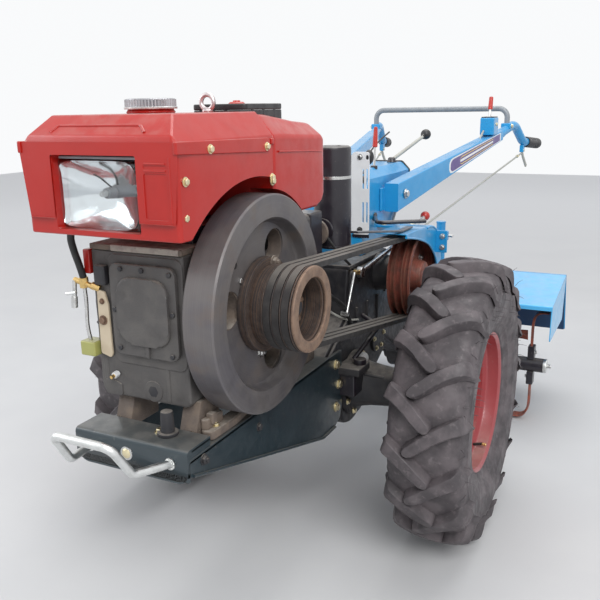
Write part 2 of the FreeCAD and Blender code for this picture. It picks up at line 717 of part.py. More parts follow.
def side_rails():
    """Two folded side plates, deeper towards the gearbox, with a flange that carries the engine."""
    front = PLATE_FRONT_Y + PLATE_T
    web = side_prism([
        (front, RAIL_TOP_Z), (RAIL_REAR_Y, RAIL_TOP_Z),
        (RAIL_REAR_Y, RAIL_REAR_BOTTOM_Z + RAIL_REAR_CORNER), (GEARBOX_FRONT_Y, RAIL_REAR_BOTTOM_Z),
        (GEARBOX_FRONT_Y - RAIL_REAR_CORNER, RAIL_REAR_BOTTOM_Z), (front, RAIL_TOP_Z - RAIL_FRONT_H),
    ], FRAME_HALF_W - RAIL_T, FRAME_HALF_W)
    flange = box(FRAME_HALF_W - RAIL_FLANGE_W, FRAME_HALF_W, front, GEARBOX_FRONT_Y,
                 RAIL_TOP_Z - RAIL_FLANGE_T, RAIL_TOP_Z)
    return both_sides(web.fuse(flange).removeSplitter())


def front_plate():
    """The front cross plate with its folded lip and its side lips on the rails."""
    top = box(-FRAME_HALF_W, FRAME_HALF_W, PLATE_FRONT_Y, PLATE_FRONT_Y + PLATE_DEPTH,
              PLATE_TOP_Z - PLATE_T, PLATE_TOP_Z)
    side = box(FRAME_HALF_W - PLATE_T, FRAME_HALF_W, PLATE_FRONT_Y, PLATE_FRONT_Y + PLATE_DEPTH,
               RAIL_TOP_Z, PLATE_TOP_Z)
    bottom = PLATE_TOP_Z - PLATE_LIP_H
    inner = FRAME_HALF_W - PLATE_CORNER
    lip = front_prism([
        (-FRAME_HALF_W, PLATE_TOP_Z), (FRAME_HALF_W, PLATE_TOP_Z), (FRAME_HALF_W, bottom + PLATE_CORNER),
        (inner, bottom), (-inner, bottom), (-FRAME_HALF_W, bottom + PLATE_CORNER),
    ], PLATE_FRONT_Y, PLATE_FRONT_Y + PLATE_T)
    return top.fuse(lip).fuse(side).fuse(mirrored(side)).removeSplitter()


def bumper():
    """A bent round bar welded to the front lip by its two feet: out, up, and across."""
    foot_z = PLATE_TOP_Z - BUMPER_FOOT_DROP
    left = [(BUMPER_FOOT_X, PLATE_FRONT_Y, foot_z)]
    for x, ahead, rise in (BUMPER_KNEE, BUMPER_TOP):
        left.append((x, PLATE_FRONT_Y - ahead, foot_z + rise))
    right = [(-x, y, z) for x, y, z in reversed(left)]
    bar = bent_bar(left + right, BUMPER_R, BUMPER_BEND)
    return bar.cut(box(-FAR, FAR, PLATE_FRONT_Y, FAR, 0, FAR))


def engine_block():
    """The engine's heavy mass: crankcase at the front, lying cylinder behind it, four feet."""
    case = box(BLOCK_RIGHT_X, BLOCK_LEFT_X, BLOCK_FRONT_Y, CRANKCASE_REAR_Y, BLOCK_BOTTOM_Z, BLOCK_TOP_Z)
    cylinder = box(BLOCK_RIGHT_X + CYLINDER_INSET, BLOCK_LEFT_X - CYLINDER_INSET,
                   CRANKCASE_REAR_Y - LAP, CYLINDER_REAR_Y, CYLINDER_BOTTOM_Z, CYLINDER_TOP_Z)
    boss = disc_x(BLOCK_LEFT_X - LAP, BLOCK_LEFT_X + CRANK_BOSS_T, CRANK_Y, CRANK_Z, CRANK_BOSS_R)
    solid = case.fuse(cylinder).fuse(boss)
    foot_out = FRAME_HALF_W - RAIL_FLANGE_W + FOOT_OUT
    for y in FOOT_YS:
        front = y - FOOT_L / 2
        rear = y + FOOT_L / 2
        under_case = y < CRANKCASE_REAR_Y
        top = (BLOCK_BOTTOM_Z if under_case else CYLINDER_BOTTOM_Z) + LAP
        left = box(foot_out - FOOT_W, foot_out, front, rear, RAIL_TOP_Z, top)
        if not under_case:
            left = left.fuse(box(FOOT_ARM_X, foot_out, front, rear, top - FOOT_ARM_T, top))
        solid = solid.fuse(left).fuse(mirrored(left))
    bore_end = BLOCK_LEFT_X + CRANK_BOSS_T + LAP
    bore = disc_x(CRANK_BORE_X, bore_end, CRANK_Y, CRANK_Z, CRANK_R + RUNNING_GAP)
    return solid.cut(bore).removeSplitter()


def rounded_plate(x, z, width, height, corner, y0, y1):
    """An upright plate with rounded corners that faces the front."""
    plate = box(x - width / 2, x + width / 2, y0, y1, z - height / 2, z + height / 2)
    upright = [e for e in plate.Edges if abs(e.tangentAt(e.FirstParameter).y) > 0.9]
    return plate.makeFillet(corner, upright)


def engine_cover():
    """The crankcase cover with its raised panel."""
    flange = rounded_plate(COVER_X, COVER_Z, COVER_W, COVER_H, COVER_CORNER,
                           BLOCK_FRONT_Y - COVER_T, BLOCK_FRONT_Y)
    panel = rounded_plate(COVER_X, COVER_Z + COVER_PANEL_RISE, COVER_W - 2 * COVER_PANEL_INSET,
                          COVER_H - 2 * (COVER_PANEL_INSET + COVER_PANEL_RISE), COVER_CORNER,
                          BLOCK_FRONT_Y - COVER_T - COVER_PANEL_T, BLOCK_FRONT_Y - COVER_T + LAP)
    return flange.fuse(panel).removeSplitter()


def cylinder_head():
    """The head and its rocker cover at the rear of the cylinder."""
    x0 = BLOCK_RIGHT_X + CYLINDER_INSET
    x1 = BLOCK_LEFT_X - CYLINDER_INSET
    head = box(x0, x1, CYLINDER_REAR_Y, HEAD_REAR_Y, CYLINDER_BOTTOM_Z - HEAD_DROP, CYLINDER_TOP_Z)
    cover = box(x0 + ROCKER_INSET, x1 - ROCKER_INSET, HEAD_REAR_Y - LAP, ROCKER_REAR_Y,
                CYLINDER_BOTTOM_Z + ROCKER_INSET, CYLINDER_TOP_Z - ROCKER_INSET)
    return head.fuse(cover).removeSplitter()


def tank_section(inset):
    """The tank's outline across the machine, as (x, z) points."""
    left = HOOD_LEFT_X - inset
    right = HOOD_RIGHT_X + inset
    bottom = TANK_BOTTOM_Z + inset
    top = TANK_TOP_Z - inset
    return [
        (right, bottom), (left, bottom), (left, TANK_SHOULDER_Z),
        (left - TANK_TOP_INSET, top), (right + TANK_TOP_INSET, top), (right, TANK_SHOULDER_Z),
    ]


def tank_form(inset, front):
    """The tank's closed form from its front face back: its top falls and is chamfered to the rear."""
    top = TANK_TOP_Z - inset
    rear = TANK_REAR_Y - inset
    profile = side_prism([
        (front, TANK_BOTTOM_Z), (front, top), (TANK_JOINT_Y, top),
        (TANK_REAR_SLOPE_Y, TANK_TOP_REAR_Z - inset),
        (rear, TANK_REAR_SLOPE_Z - inset), (rear, TANK_BOTTOM_Z),
    ], HOOD_RIGHT_X, HOOD_LEFT_X)
    return front_prism(tank_section(inset), front, rear).common(profile)


def fuel_tank():
    """The hollow tank, with a narrower nose inside the lamp housing and a seat on the engine."""
    body = tank_form(0, TANK_JOINT_Y)
    nose_inset = HOUSING_SHEET + SEAT_GAP
    nose = front_prism(tank_section(nose_inset), TANK_NOSE_Y, TANK_JOINT_Y + LAP)
    arch_x = FLYWHEEL_FACE_X - FLYWHEEL_W - TURN_GAP
    arch = disc_x(arch_x, HOOD_LEFT_X + LAP, CRANK_Y, CRANK_Z, TANK_ARCH_R)
    arch_wall = disc_x(arch_x - TANK_WALL, HOOD_LEFT_X + LAP, CRANK_Y, CRANK_Z, TANK_ARCH_R + TANK_WALL)
    hollow = tank_form(nose_inset + TANK_WALL, TANK_NOSE_Y + TANK_WALL).cut(arch_wall)
    seat_right = BLOCK_RIGHT_X + TANK_SEAT_INSET
    seat_left = BLOCK_LEFT_X - TANK_SEAT_INSET
    seat_front = TANK_NOSE_Y + TANK_SEAT_INSET
    seat = box(seat_right, seat_left, seat_front, CRANKCASE_REAR_Y, BLOCK_TOP_Z, TANK_BOTTOM_Z + LAP)
    seat_hollow = box(seat_right + TANK_SEAT_WALL, seat_left - TANK_SEAT_WALL, seat_front + TANK_SEAT_WALL,
                      CRANKCASE_REAR_Y - TANK_SEAT_WALL, BLOCK_TOP_Z - LAP, TANK_BOTTOM_Z)
    return body.fuse(nose).fuse(seat).cut(hollow).cut(seat_hollow).cut(arch).removeSplitter()


def housing_profile(inset):
    """The lamp housing's side outline, as (y, z) points; the inner one is open below and behind."""
    front = HOUSING_FRONT_Y + inset
    top = HOUSING_TOP_Z - inset
    bottom = HOUSING_BOTTOM_Z - (LAP if inset else 0)
    rear = TANK_JOINT_Y + (LAP if inset else 0)
    return [
        (front, bottom), (front, HOUSING_TOP_FRONT_Z - inset),
        (front + HOUSING_SLOPE_L, top), (rear, top), (rear, bottom),
    ]


def housing_solid(inset):
    """The lamp housing's outer or inner form."""
    left = HOOD_LEFT_X - inset
    right = HOOD_RIGHT_X + inset
    shoulder = HOUSING_SHOULDER_Z - inset
    top = HOUSING_TOP_Z - inset
    form = side_prism(housing_profile(inset), right, left)
    roof = front_prism([
        (right, HOUSING_BOTTOM_Z - LAP), (left, HOUSING_BOTTOM_Z - LAP), (left, shoulder),
        (left - TANK_TOP_INSET, top), (right + TANK_TOP_INSET, top), (right, shoulder),
    ], HOUSING_FRONT_Y - LAP, TANK_JOINT_Y + LAP)
    return form.common(roof)


def lamp_housing():
    """The sheet housing in front of the tank, open below, cut for the lamp and clear of the flywheel."""
    shell = housing_solid(0).cut(housing_solid(HOUSING_SHEET))
    window = box(LAMP_X - LAMP_W / 2, LAMP_X + LAMP_W / 2, HOUSING_FRONT_Y - LAP,
                 HOUSING_FRONT_Y + HOUSING_SHEET + LAP, LAMP_Z - LAMP_H / 2, LAMP_Z + LAMP_H / 2)
    arch = disc_x(0, HOOD_LEFT_X + LAP, CRANK_Y - HOUSING_ARCH_AHEAD, CRANK_Z - HOUSING_ARCH_BELOW,
                  FLYWHEEL_R + HOUSING_ARCH_MORE)
    turning_room = disc_x(0, HOOD_LEFT_X + LAP, CRANK_Y, CRANK_Z, FLYWHEEL_R + TURN_GAP)
    return shell.cut(window).cut(arch).cut(turning_room).removeSplitter()


def headlamp():
    """The lamp unit behind its lens, held in the housing's window."""
    half_w = LAMP_W / 2 - SEAT_GAP
    half_h = LAMP_H / 2 - SEAT_GAP
    body = box(LAMP_X - half_w, LAMP_X + half_w, HOUSING_FRONT_Y + LAMP_SET_BACK,
               HOUSING_FRONT_Y + LAMP_DEPTH, LAMP_Z - half_h, LAMP_Z + half_h)
    half_w += LAMP_FLANGE_W
    half_h += LAMP_FLANGE_W
    sheet_back = HOUSING_FRONT_Y + HOUSING_SHEET
    flange = box(LAMP_X - half_w, LAMP_X + half_w, sheet_back, sheet_back + LAMP_FLANGE_T,
                 LAMP_Z - half_h, LAMP_Z + half_h)
    return body.fuse(flange).removeSplitter()


def filler_box():
    """The flat black box on the tank's falling top."""
    x0, x1 = FILLER_BOX_X
    y0, y1 = FILLER_BOX_Y
    return box(x0, x1, y0, y1, TANK_TOP_REAR_Z - LAP, FILLER_BOX_TOP_Z).cut(tank_form(0, TANK_JOINT_Y))


def fuel_cap():
    """The round fuel cap with its narrower neck."""
    base = HOUSING_TOP_Z
    neck = disc_z(FUEL_CAP_X, FUEL_CAP_Y, base, base + FUEL_CAP_NECK_H + LAP, FUEL_CAP_NECK_R)
    cap = disc_z(FUEL_CAP_X, FUEL_CAP_Y, base + FUEL_CAP_NECK_H, base + FUEL_CAP_H, FUEL_CAP_R)
    return neck.fuse(cap).removeSplitter()


def lifting_eye():
    """A ring on a short collar, which faces the front."""
    base = HOUSING_TOP_Z
    ring = Part.makeTorus(EYE_R, EYE_WIRE_R, V(EYE_X, EYE_Y, base + EYE_R + EYE_WIRE_R), V(0, 1, 0))
    collar = disc_z(EYE_X, EYE_Y, base, base + EYE_COLLAR_H, EYE_COLLAR_R)
    return ring.fuse(collar).removeSplitter()


def muffler():
    """The upright muffler with its pipe from the cylinder head."""
    can = disc_z(MUFFLER_X, MUFFLER_Y, MUFFLER_BOTTOM_Z, MUFFLER_TOP_Z, MUFFLER_R)
    pipe_start = (MUFFLER_X, ROCKER_REAR_Y, MUFFLER_PIPE_Z)
    pipe = rod(pipe_start, (MUFFLER_X, MUFFLER_Y, MUFFLER_PIPE_Z), MUFFLER_PIPE_R)
    return can.fuse(pipe).removeSplitter()


def muffler_guard():
    """The slotted upright strip behind the muffler, bolted to the console's front."""
    x0 = CONSOLE_HALF_W - GUARD_IN_CONSOLE
    y0 = CONSOLE_FRONT_Y - GUARD_T
    plate = box(x0, x0 + GUARD_W, y0, CONSOLE_FRONT_Y, GUARD_LOW_Z, GUARD_LOW_Z + GUARD_H)
    for low, high in GUARD_SLOT_SPANS:
        for from_edge in GUARD_SLOT_EDGES:
            x = x0 + GUARD_W - from_edge
            slot = box(x, x + GUARD_SLOT_W, y0 - LAP, CONSOLE_FRONT_Y + LAP,
                       GUARD_LOW_Z + low, GUARD_LOW_Z + high)
            plate = plate.cut(slot)
    return plate


def fuel_pump():
    """The injection pump and governor casting on the engine's right side."""
    body = box(BLOCK_RIGHT_X - PUMP_W, BLOCK_RIGHT_X, PUMP_Y - PUMP_L / 2, PUMP_Y + PUMP_L / 2,
               PUMP_Z, PUMP_Z + PUMP_H)
    top = PUMP_Z + PUMP_H
    neck = disc_z(BLOCK_RIGHT_X - PUMP_W / 2, PUMP_Y, top - LAP, top + PUMP_NECK_H, PUMP_NECK_R)
    return body.fuse(neck).removeSplitter()


def console_outline(inset):
    """The console's side outline, as (y, z) points; the inner one is open below."""
    base = GEARBOX_TOP_Z - (LAP if inset else 0)
    front = CONSOLE_FRONT_Y + inset
    rear = CONSOLE_REAR_Y - inset
    top = CONSOLE_TOP_Z - inset
    top_rear = CONSOLE_TOP_REAR_Y - inset
    return [
        (front, base), (front, GEARBOX_TOP_Z + CONSOLE_FRONT_H), (CONSOLE_TOP_FRONT_Y + inset, top),
        (top_rear, top), (top_rear, CONSOLE_BACK_Z + inset),
        (rear, GEARBOX_TOP_Z + CONSOLE_REAR_H), (rear, base),
    ]


def console_form(inset, leg):
    """The console's outer form, or its hollow, with both long top edges bevelled."""
    half_w = CONSOLE_HALF_W - inset
    top = CONSOLE_TOP_Z - inset
    wedge = front_prism([
        (half_w + LAP, top - leg - LAP), (half_w + LAP, top + LAP), (half_w - leg - LAP, top + LAP),
    ], 0, FAR)
    return side_prism(console_outline(inset), -half_w, half_w).cut(wedge).cut(mirrored(wedge))


def handle_console():
    """The folded steel console that carries the handles, on top of the gearbox."""
    inner_leg = CONSOLE_CHAMFER - CONSOLE_WALL * (2 - math.sqrt(2))
    return console_form(0, CONSOLE_CHAMFER).cut(console_form(CONSOLE_WALL, inner_leg)).removeSplitter()


def beam_section(centre, width, height):
    """An upright rectangle across the beam at one point."""
    x, y, z = centre
    corners = [
        V(x - width / 2, y, z - height / 2), V(x + width / 2, y, z - height / 2),
        V(x + width / 2, y, z + height / 2), V(x - width / 2, y, z + height / 2),
    ]
    return Part.makePolygon(corners + corners[:1])


def beam_form(inset, front_extra, end_short):
    """The tapered beam's outer form, or its hollow, which starts ahead and stops short of the end."""
    start = V(*BEAM_START)
    end = V(*BEAM_END)
    start_centre = start - (end - start).normalize() * front_extra
    end_centre = end - (end - start).normalize() * end_short
    form = Part.makeLoft([
        beam_section(tuple(start_centre), BEAM_START_W - 2 * inset, BEAM_START_H - 2 * inset),
        beam_section(tuple(end_centre), BEAM_END_W - 2 * inset, BEAM_END_H - 2 * inset),
    ], True, True)
    if form.Volume < 0:
        form.reverse()
    return form


def handle_beam():
    """A hollow tapered box beam with its bolted pad against the console."""
    x, y, z = BEAM_START
    hollow = beam_form(BEAM_WALL, BEAM_WALL, BEAM_WALL)
    pad = box(CONSOLE_HALF_W, x - BEAM_START_W / 2 + BEAM_PAD_LAP, y, y + BEAM_PAD_L,
              z - BEAM_PAD_HALF_H, z + BEAM_PAD_HALF_H)
    return beam_form(0, 0, 0).fuse(pad).cut(hollow).removeSplitter()


def tube_corner(share, height):
    """A corner of the handle tube, at a share of the way from the beam's end to the tube's."""
    start = V(*BEAM_END)
    corner = start + (V(*TUBE_END) - start) * share
    return V(corner.x, corner.y, height)


def grip_line():
    """The tube's rear end, and the direction back along its last run."""
    end = V(*TUBE_END)
    low = tube_corner(TUBE_LOW_SHARE, end.z + TUBE_LOW_RISE)
    return end, (low - end).normalize()


def handle_tube():
    """The round tube from the beam's end to the grip: up, back and down."""
    start = V(*BEAM_END)
    top = tube_corner(TUBE_TOP_SHARE, start.z + TUBE_RISE)
    low = tube_corner(TUBE_LOW_SHARE, TUBE_END[2] + TUBE_LOW_RISE)
    inside = start - (top - start).normalize() * TUBE_R
    tube = bent_bar([inside, top, low, TUBE_END], TUBE_R, TUBE_BEND)
    return tube.cut(box(-FAR, FAR, -FAR, start.y, 0, FAR))


def grip():
    """A rubber sleeve closed at its end."""
    end, back = grip_line()
    outer = Part.makeCylinder(GRIP_R, GRIP_L, end - back * GRIP_END_T, back)
    inner = Part.makeCylinder(TUBE_R + SLEEVE_GAP, GRIP_L, end, back)
    return outer.cut(inner)


def rear_end_y():
    """How far back the slanted grip reaches."""
    end, back = grip_line()
    return end.y - back.y * GRIP_END_T + GRIP_R * math.sqrt(1 - back.y * back.y)


def handle_bow():
    """The hoop that joins the two handle tubes."""
    foot_z = BEAM_END[2] + TUBE_RISE * BOW_FOOT_SHARE
    foot_x = BOW_HALF_W + BOW_FOOT_OUT
    top_z = foot_z + BOW_RISE
    points = [
        (foot_x, BOW_Y, foot_z), (BOW_HALF_W, BOW_Y, top_z),
        (-BOW_HALF_W, BOW_Y, top_z), (-foot_x, BOW_Y, foot_z),
    ]
    bow = bent_bar(points, BOW_R, BOW_BEND)
    tube = handle_tube()
    return bow.cut(tube).cut(mirrored(tube))


def lever(foot, top, knob_r, boss):
    """A round lever with a ball knob, out of a boss on its carrier."""
    ball = Part.makeSphere(knob_r, V(*top))
    return rod(foot, top, LEVER_R).fuse(ball).fuse(boss).removeSplitter()


def gear_lever():
    """The gear lever on the console's top."""
    x, y = GEAR_LEVER_FOOT
    boss = disc_z(x, y, CONSOLE_TOP_Z, CONSOLE_TOP_Z + LEVER_BOSS_H, LEVER_BOSS_R)
    knob = (*GEAR_KNOB, CONSOLE_TOP_Z + GEAR_KNOB_RISE)
    return lever((x, y, CONSOLE_TOP_Z + LEVER_BOSS_H / 2), knob, KNOB_R, boss)


def side_lever():
    """The small engaging lever on the gearbox's left side."""
    y = SIDE_LEVER_Y
    z = GEARBOX_TOP_Z - SIDE_LEVER_DROP
    boss = disc_x(GEARBOX_HALF_W, GEARBOX_HALF_W + LEVER_BOSS_H, y, z, LEVER_BOSS_R)
    knob = (*SIDE_KNOB, GEARBOX_TOP_Z + SIDE_KNOB_RISE)
    return lever((GEARBOX_HALF_W + LEVER_BOSS_H / 2, y, z), knob, SIDE_KNOB_R, boss)


def steer_pivot():
    """Where a steering lever hangs on its tube's centre line."""
    end, back = grip_line()
    return end + back * (GRIP_L + STEER_TO_GRIP)


def steering_lever():
    """A hand lever hung under the handle tube, ahead of the grip."""
    pivot = steer_pivot()
    half_w = STEER_BRACKET_W / 2
    half_l = STEER_BRACKET_L / 2
    under = pivot.z - TUBE_R
    bracket = box(pivot.x - half_w, pivot.x + half_w, pivot.y - half_l, pivot.y + half_l,
                  under - STEER_BRACKET_DROP, pivot.z)
    lowest = min(bracket.cut(handle_tube()).Solids, key=lambda s: s.CenterOfMass.z)
    hand_end = (pivot.x + STEER_LEVER_OUT, pivot.y + STEER_LEVER_L, under - STEER_LEVER_DROP)
    blade = rod((pivot.x, pivot.y, under - STEER_PIVOT_DROP), hand_end, LEVER_R)
    return lowest.fuse(blade).removeSplitter()


def throttle_box():
    """The switch box on the beam's top, with its lever."""
    share = (THROTTLE_Y - BEAM_START[1]) / (BEAM_END[1] - BEAM_START[1])
    x = BEAM_START[0] + (BEAM_END[0] - BEAM_START[0]) * share
    z = BEAM_START[2] + (BEAM_END[2] - BEAM_START[2]) * share
    width, length, height = THROTTLE_BOX
    top = z + (BEAM_START_H + (BEAM_END_H - BEAM_START_H) * share) / 2 + height
    body = box(x - width / 2, x + width / 2, THROTTLE_Y - length / 2, THROTTLE_Y + length / 2, z, top)
    body = max(body.cut(beam_form(0, 0, 0)).Solids, key=lambda s: s.CenterOfMass.z)
    lever_end = (x, THROTTLE_Y + THROTTLE_LEVER_LEAN, top + THROTTLE_LEVER_H)
    stick = rod((x, THROTTLE_Y, top - LAP), lever_end, LEVER_R)
    return body.fuse(stick).removeSplitter()


def control_rods():
    """The two steering clutch rods from the levers down to the gearbox."""
    pivot = steer_pivot()
    top = (pivot.x, pivot.y - ROD_TOP_AHEAD, pivot.z - TUBE_R - STEER_BRACKET_DROP - ROD_R)
    foot = (GEARBOX_HALF_W - ROD_FOOT_IN, GEARBOX_REAR_Y - ROD_R, GEARBOX_TOP_Z - ROD_FOOT_DROP)
    stay = rod(foot, top, ROD_R).cut(box(-FAR, FAR, -FAR, GEARBOX_REAR_Y, 0, FAR))
    return both_sides(stay)


def belt_guard():
    """The curved sheet over the top and rear of the clutch drum, with its stay to the console."""
    first, last = (math.radians(a) for a in BELT_GUARD_ANGLES)
    middle = (first + last) / 2

    def on_arc(radius, angle):
        return V(BELT_GUARD_X[0], CLUTCH_Y + radius * math.cos(angle), CLUTCH_Z + radius * math.sin(angle))

    inner = BELT_GUARD_R
    outer = BELT_GUARD_R + BELT_GUARD_T
    wire = Part.Wire([
        Part.Arc(on_arc(outer, first), on_arc(outer, middle), on_arc(outer, last)).toShape(),
        Part.LineSegment(on_arc(outer, last), on_arc(inner, last)).toShape(),
        Part.Arc(on_arc(inner, last), on_arc(inner, middle), on_arc(inner, first)).toShape(),
        Part.LineSegment(on_arc(inner, first), on_arc(outer, first)).toShape(),
    ])
    sheet = Part.Face(wire).extrude(V(BELT_GUARD_X[1] - BELT_GUARD_X[0], 0, 0))
    stay_angle = math.radians(BELT_STAY_DEG)
    stay_y = CLUTCH_Y + BELT_GUARD_R * math.cos(stay_angle)
    stay_z = CLUTCH_Z + BELT_GUARD_R * math.sin(stay_angle)
    stay = box(CONSOLE_HALF_W, BELT_GUARD_X[0] + BELT_STAY_LAP, stay_y - BELT_STAY_HALF_L,
               stay_y + BELT_STAY_HALF_L, stay_z, stay_z + BELT_STAY_T)
    stay = stay.cut(disc_x(0, FAR, CLUTCH_Y, CLUTCH_Z, BELT_GUARD_R + BELT_GUARD_T / 2))
    return sheet.fuse(stay).removeSplitter()


def guard_rod():
    """The round rod in front of the belt guard, from the console's side."""
    z = CLUTCH_Z + BELT_GUARD_R + BELT_GUARD_T + GUARD_ROD_R
    out, ahead = GUARD_ROD_CORNER
    points = [
        (CONSOLE_HALF_W, CONSOLE_FRONT_Y + GUARD_ROD_FOOT_BACK, z),
        (CONSOLE_HALF_W + out, CONSOLE_FRONT_Y - ahead, z), (BELT_GUARD_X[1] - GUARD_ROD_IN, CLUTCH_Y, z),
    ]
    bar = bent_bar(points, GUARD_ROD_R, GUARD_ROD_BEND)
    return bar.cut(handle_console())


def rotor_shaft():
    """The tiller's rotor tube with a flange each side of the case."""
    start = TILLER_CASE_HALF_W + TURN_GAP
    tube = disc_x(start, ROTOR_HALF_L, ROTOR_Y, ROTOR_Z, ROTOR_TUBE_R)
    left = tube.fuse(disc_x(start, start + ROTOR_FLANGE_T, ROTOR_Y, ROTOR_Z, ROTOR_FLANGE_R))
    left = left.fuse(disc_x(ROTOR_HALF_L - LAP, ROTOR_HALF_L + ROTOR_STUB_L, ROTOR_Y, ROTOR_Z, ROTOR_STUB_R))
    core = disc_x(-start - LAP, start + LAP, ROTOR_Y, ROTOR_Z, ROTOR_CORE_R)
    return left.fuse(mirrored(left)).fuse(core).removeSplitter()


def tine(x, angle_deg, turn):
    """One bent tine: a flat stem out from the rotor and a foot turned to one side."""
    stem = box(-TINE_STEM_T / 2, TINE_STEM_T / 2, -TINE_STEM_W / 2, TINE_STEM_W / 2,
               ROTOR_TUBE_R + TINE_GAP, TINE_REACH)
    foot_x = (-TINE_STEM_T / 2, TINE_FOOT_L) if turn > 0 else (-TINE_FOOT_L, TINE_STEM_T / 2)
    foot = box(foot_x[0], foot_x[1], -TINE_FOOT_W / 2, TINE_FOOT_W / 2, TINE_REACH - TINE_STEM_T, TINE_REACH)
    solid = stem.fuse(foot).removeSplitter()
    solid.rotate(V(0, 0, 0), ALONG_X, angle_deg)
    solid.translate(V(x, ROTOR_Y, ROTOR_Z))
    return solid


def tines():
    """Tines along both halves of the rotor, each pair opposite."""
    pieces = []
    for side in SIDES:
        side_deg = TINE_SIDE_DEG if side < 0 else 0
        for n in range(TINES_PER_SIDE):
            x = side * (TINE_FIRST_X + TINE_PITCH * n)
            for half_turn in (0, 180):
                turn = side if half_turn == 0 or n == 0 else -side
                pieces.append(tine(x, TINE_STEP_DEG * (n + 1) + side_deg + half_turn, turn))
    return Part.makeCompound(pieces)


def tiller_case():
    """The tiller's central case, its mounting on the gearbox and the cross beam under the cover."""
    case = disc_x(-TILLER_CASE_HALF_W, TILLER_CASE_HALF_W, ROTOR_Y, ROTOR_Z, TILLER_CASE_R)
    low, high = TILLER_MOUNT_Z
    rear, rear_rise = TILLER_NECK_REAR
    ahead, ahead_drop = TILLER_NECK_FRONT
    neck = side_prism([
        (ROTOR_Y - TILLER_CASE_R, ROTOR_Z), (ROTOR_Y + TILLER_CASE_R, ROTOR_Z),
        (ROTOR_Y + rear, low + rear_rise), (ROTOR_Y - ahead, high - ahead_drop),
        (TILLER_NECK_START_Y, high), (TILLER_NECK_START_Y, low),
    ], -TILLER_CASE_HALF_W, TILLER_CASE_HALF_W)
    mount = box(-TILLER_MOUNT_HALF_W, TILLER_MOUNT_HALF_W, GEARBOX_REAR_Y, TILLER_MOUNT_REAR_Y, low, high)
    beam_half_l = TILLER_COVER_HALF_W - TILLER_COVER_T
    beam_y = ROTOR_Y - TILLER_BEAM_AHEAD
    beam = box(-beam_half_l, beam_half_l, beam_y, beam_y + TILLER_BEAM_W,
               TILLER_BEAM_Z, TILLER_BEAM_Z + TILLER_BEAM_H)
    pad = box(-TAIL_ARM_HALF_W, TAIL_ARM_HALF_W, TILLER_PAD_Y[0], TILLER_PAD_Y[1],
              TILLER_PAD_Z - TILLER_PAD_H, TILLER_PAD_Z)
    bore = disc_x(-TILLER_CASE_HALF_W - LAP, TILLER_CASE_HALF_W + LAP, ROTOR_Y, ROTOR_Z,
                  ROTOR_CORE_R + RUNNING_GAP)
    return case.fuse(neck).fuse(mount).fuse(beam).fuse(pad).cut(bore).removeSplitter()


def cover_strip(points, thickness, half_width):
    """A bent sheet across the machine, along (y, z) points, thickened downwards."""
    lower = [(y, z - thickness) for y, z in reversed(points)]
    return side_prism(points + lower, -half_width, half_width)


def tiller_cover():
    """The tiller's sheet cover: sloped top, front lip, rear flap and two end plates."""
    front_y, front_z = TILLER_COVER_FRONT
    rear_y, rear_z = TILLER_COVER_REAR
    flap_y, flap_z = TILLER_FLAP_END
    t = TILLER_COVER_T
    w = TILLER_COVER_HALF_W
    top = cover_strip([TILLER_COVER_FRONT, TILLER_COVER_REAR], t, w)
    lip = box(-w, w, front_y, front_y + t, front_z - TILLER_COVER_LIP_H, front_z - LAP)
    flap = side_prism([
        (rear_y, rear_z), (flap_y, flap_z), (flap_y - t, flap_z), (rear_y - t, rear_z - t),
    ], -w, w)
    end = side_prism([
        (front_y, front_z - LAP), (rear_y - LAP, rear_z - LAP), TILLER_END_LOW, TILLER_END_TIP,
    ], w - t, w)
    solid = top.fuse(lip).fuse(flap).fuse(end).fuse(mirrored(end))
    slot_half_w = TILLER_CASE_HALF_W + SEAT_GAP
    neck_slot = box(-slot_half_w, slot_half_w, front_y - LAP, TILLER_SLOT_REAR_Y, 0, FAR)
    return solid.cut(neck_slot).removeSplitter()


def tail_fork():
    """The stem and fork of the depth wheel, on an arm from the tiller's mounting."""
    inside = TAIL_W / 2 + TURN_GAP
    outside = inside + TAIL_FORK_T
    crown_z = TAIL_R * 2 + TAIL_CROWN_GAP
    crown_top = crown_z + TAIL_CROWN_T
    cheek = box(inside, outside, TAIL_Y - TAIL_CHEEK_HALF_L, TAIL_Y + TAIL_CHEEK_HALF_L,
                TAIL_R - TAIL_CHEEK_HALF_L, crown_z + LAP)
    crown = box(-outside, outside, TAIL_Y - TAIL_CROWN_HALF_L, TAIL_Y + TAIL_CROWN_HALF_L,
                crown_z, crown_top)
    stem = disc_z(0, TAIL_Y, crown_top - LAP, TAIL_STEM_TOP_Z, TAIL_STEM_R)
    arm = box(-TAIL_ARM_HALF_W, TAIL_ARM_HALF_W, TILLER_PAD_Y[0], TAIL_Y + TAIL_ARM_PAST,
              TILLER_PAD_Z, TILLER_PAD_Z + TAIL_ARM_H)
    pin_end = outside + TAIL_PIN_PROUD
    pin = disc_x(-pin_end, pin_end, TAIL_Y, TAIL_R, TAIL_AXLE_R)
    solid = cheek.fuse(mirrored(cheek)).fuse(crown).fuse(stem).fuse(arm).fuse(pin)
    return solid.removeSplitter()


def tail_wheel():
    """The depth wheel: a narrow wheel with a rounded tread, which turns on the fork's pin."""
    half = TAIL_W / 2
    web = TAIL_WEB_HALF_T
    inside = TAIL_R - TAIL_TYRE_T
    edge_r = TAIL_R - TAIL_CROWN_DROP
    bore = TAIL_AXLE_R + RUNNING_GAP
    tread = arc((-half, edge_r), (0, TAIL_R), (half, edge_r))
    sides = [
        (half, edge_r), (half, inside), (web, inside), (web, TAIL_HUB_R), (half, TAIL_HUB_R), (half, bore),
        (-half, bore), (-half, TAIL_HUB_R), (-web, TAIL_HUB_R), (-web, inside), (-half, inside),
        (-half, edge_r),
    ]
    return turned([tread] + [line(a, b) for a, b in zip(sides, sides[1:])], 0, TAIL_Y, TAIL_R)


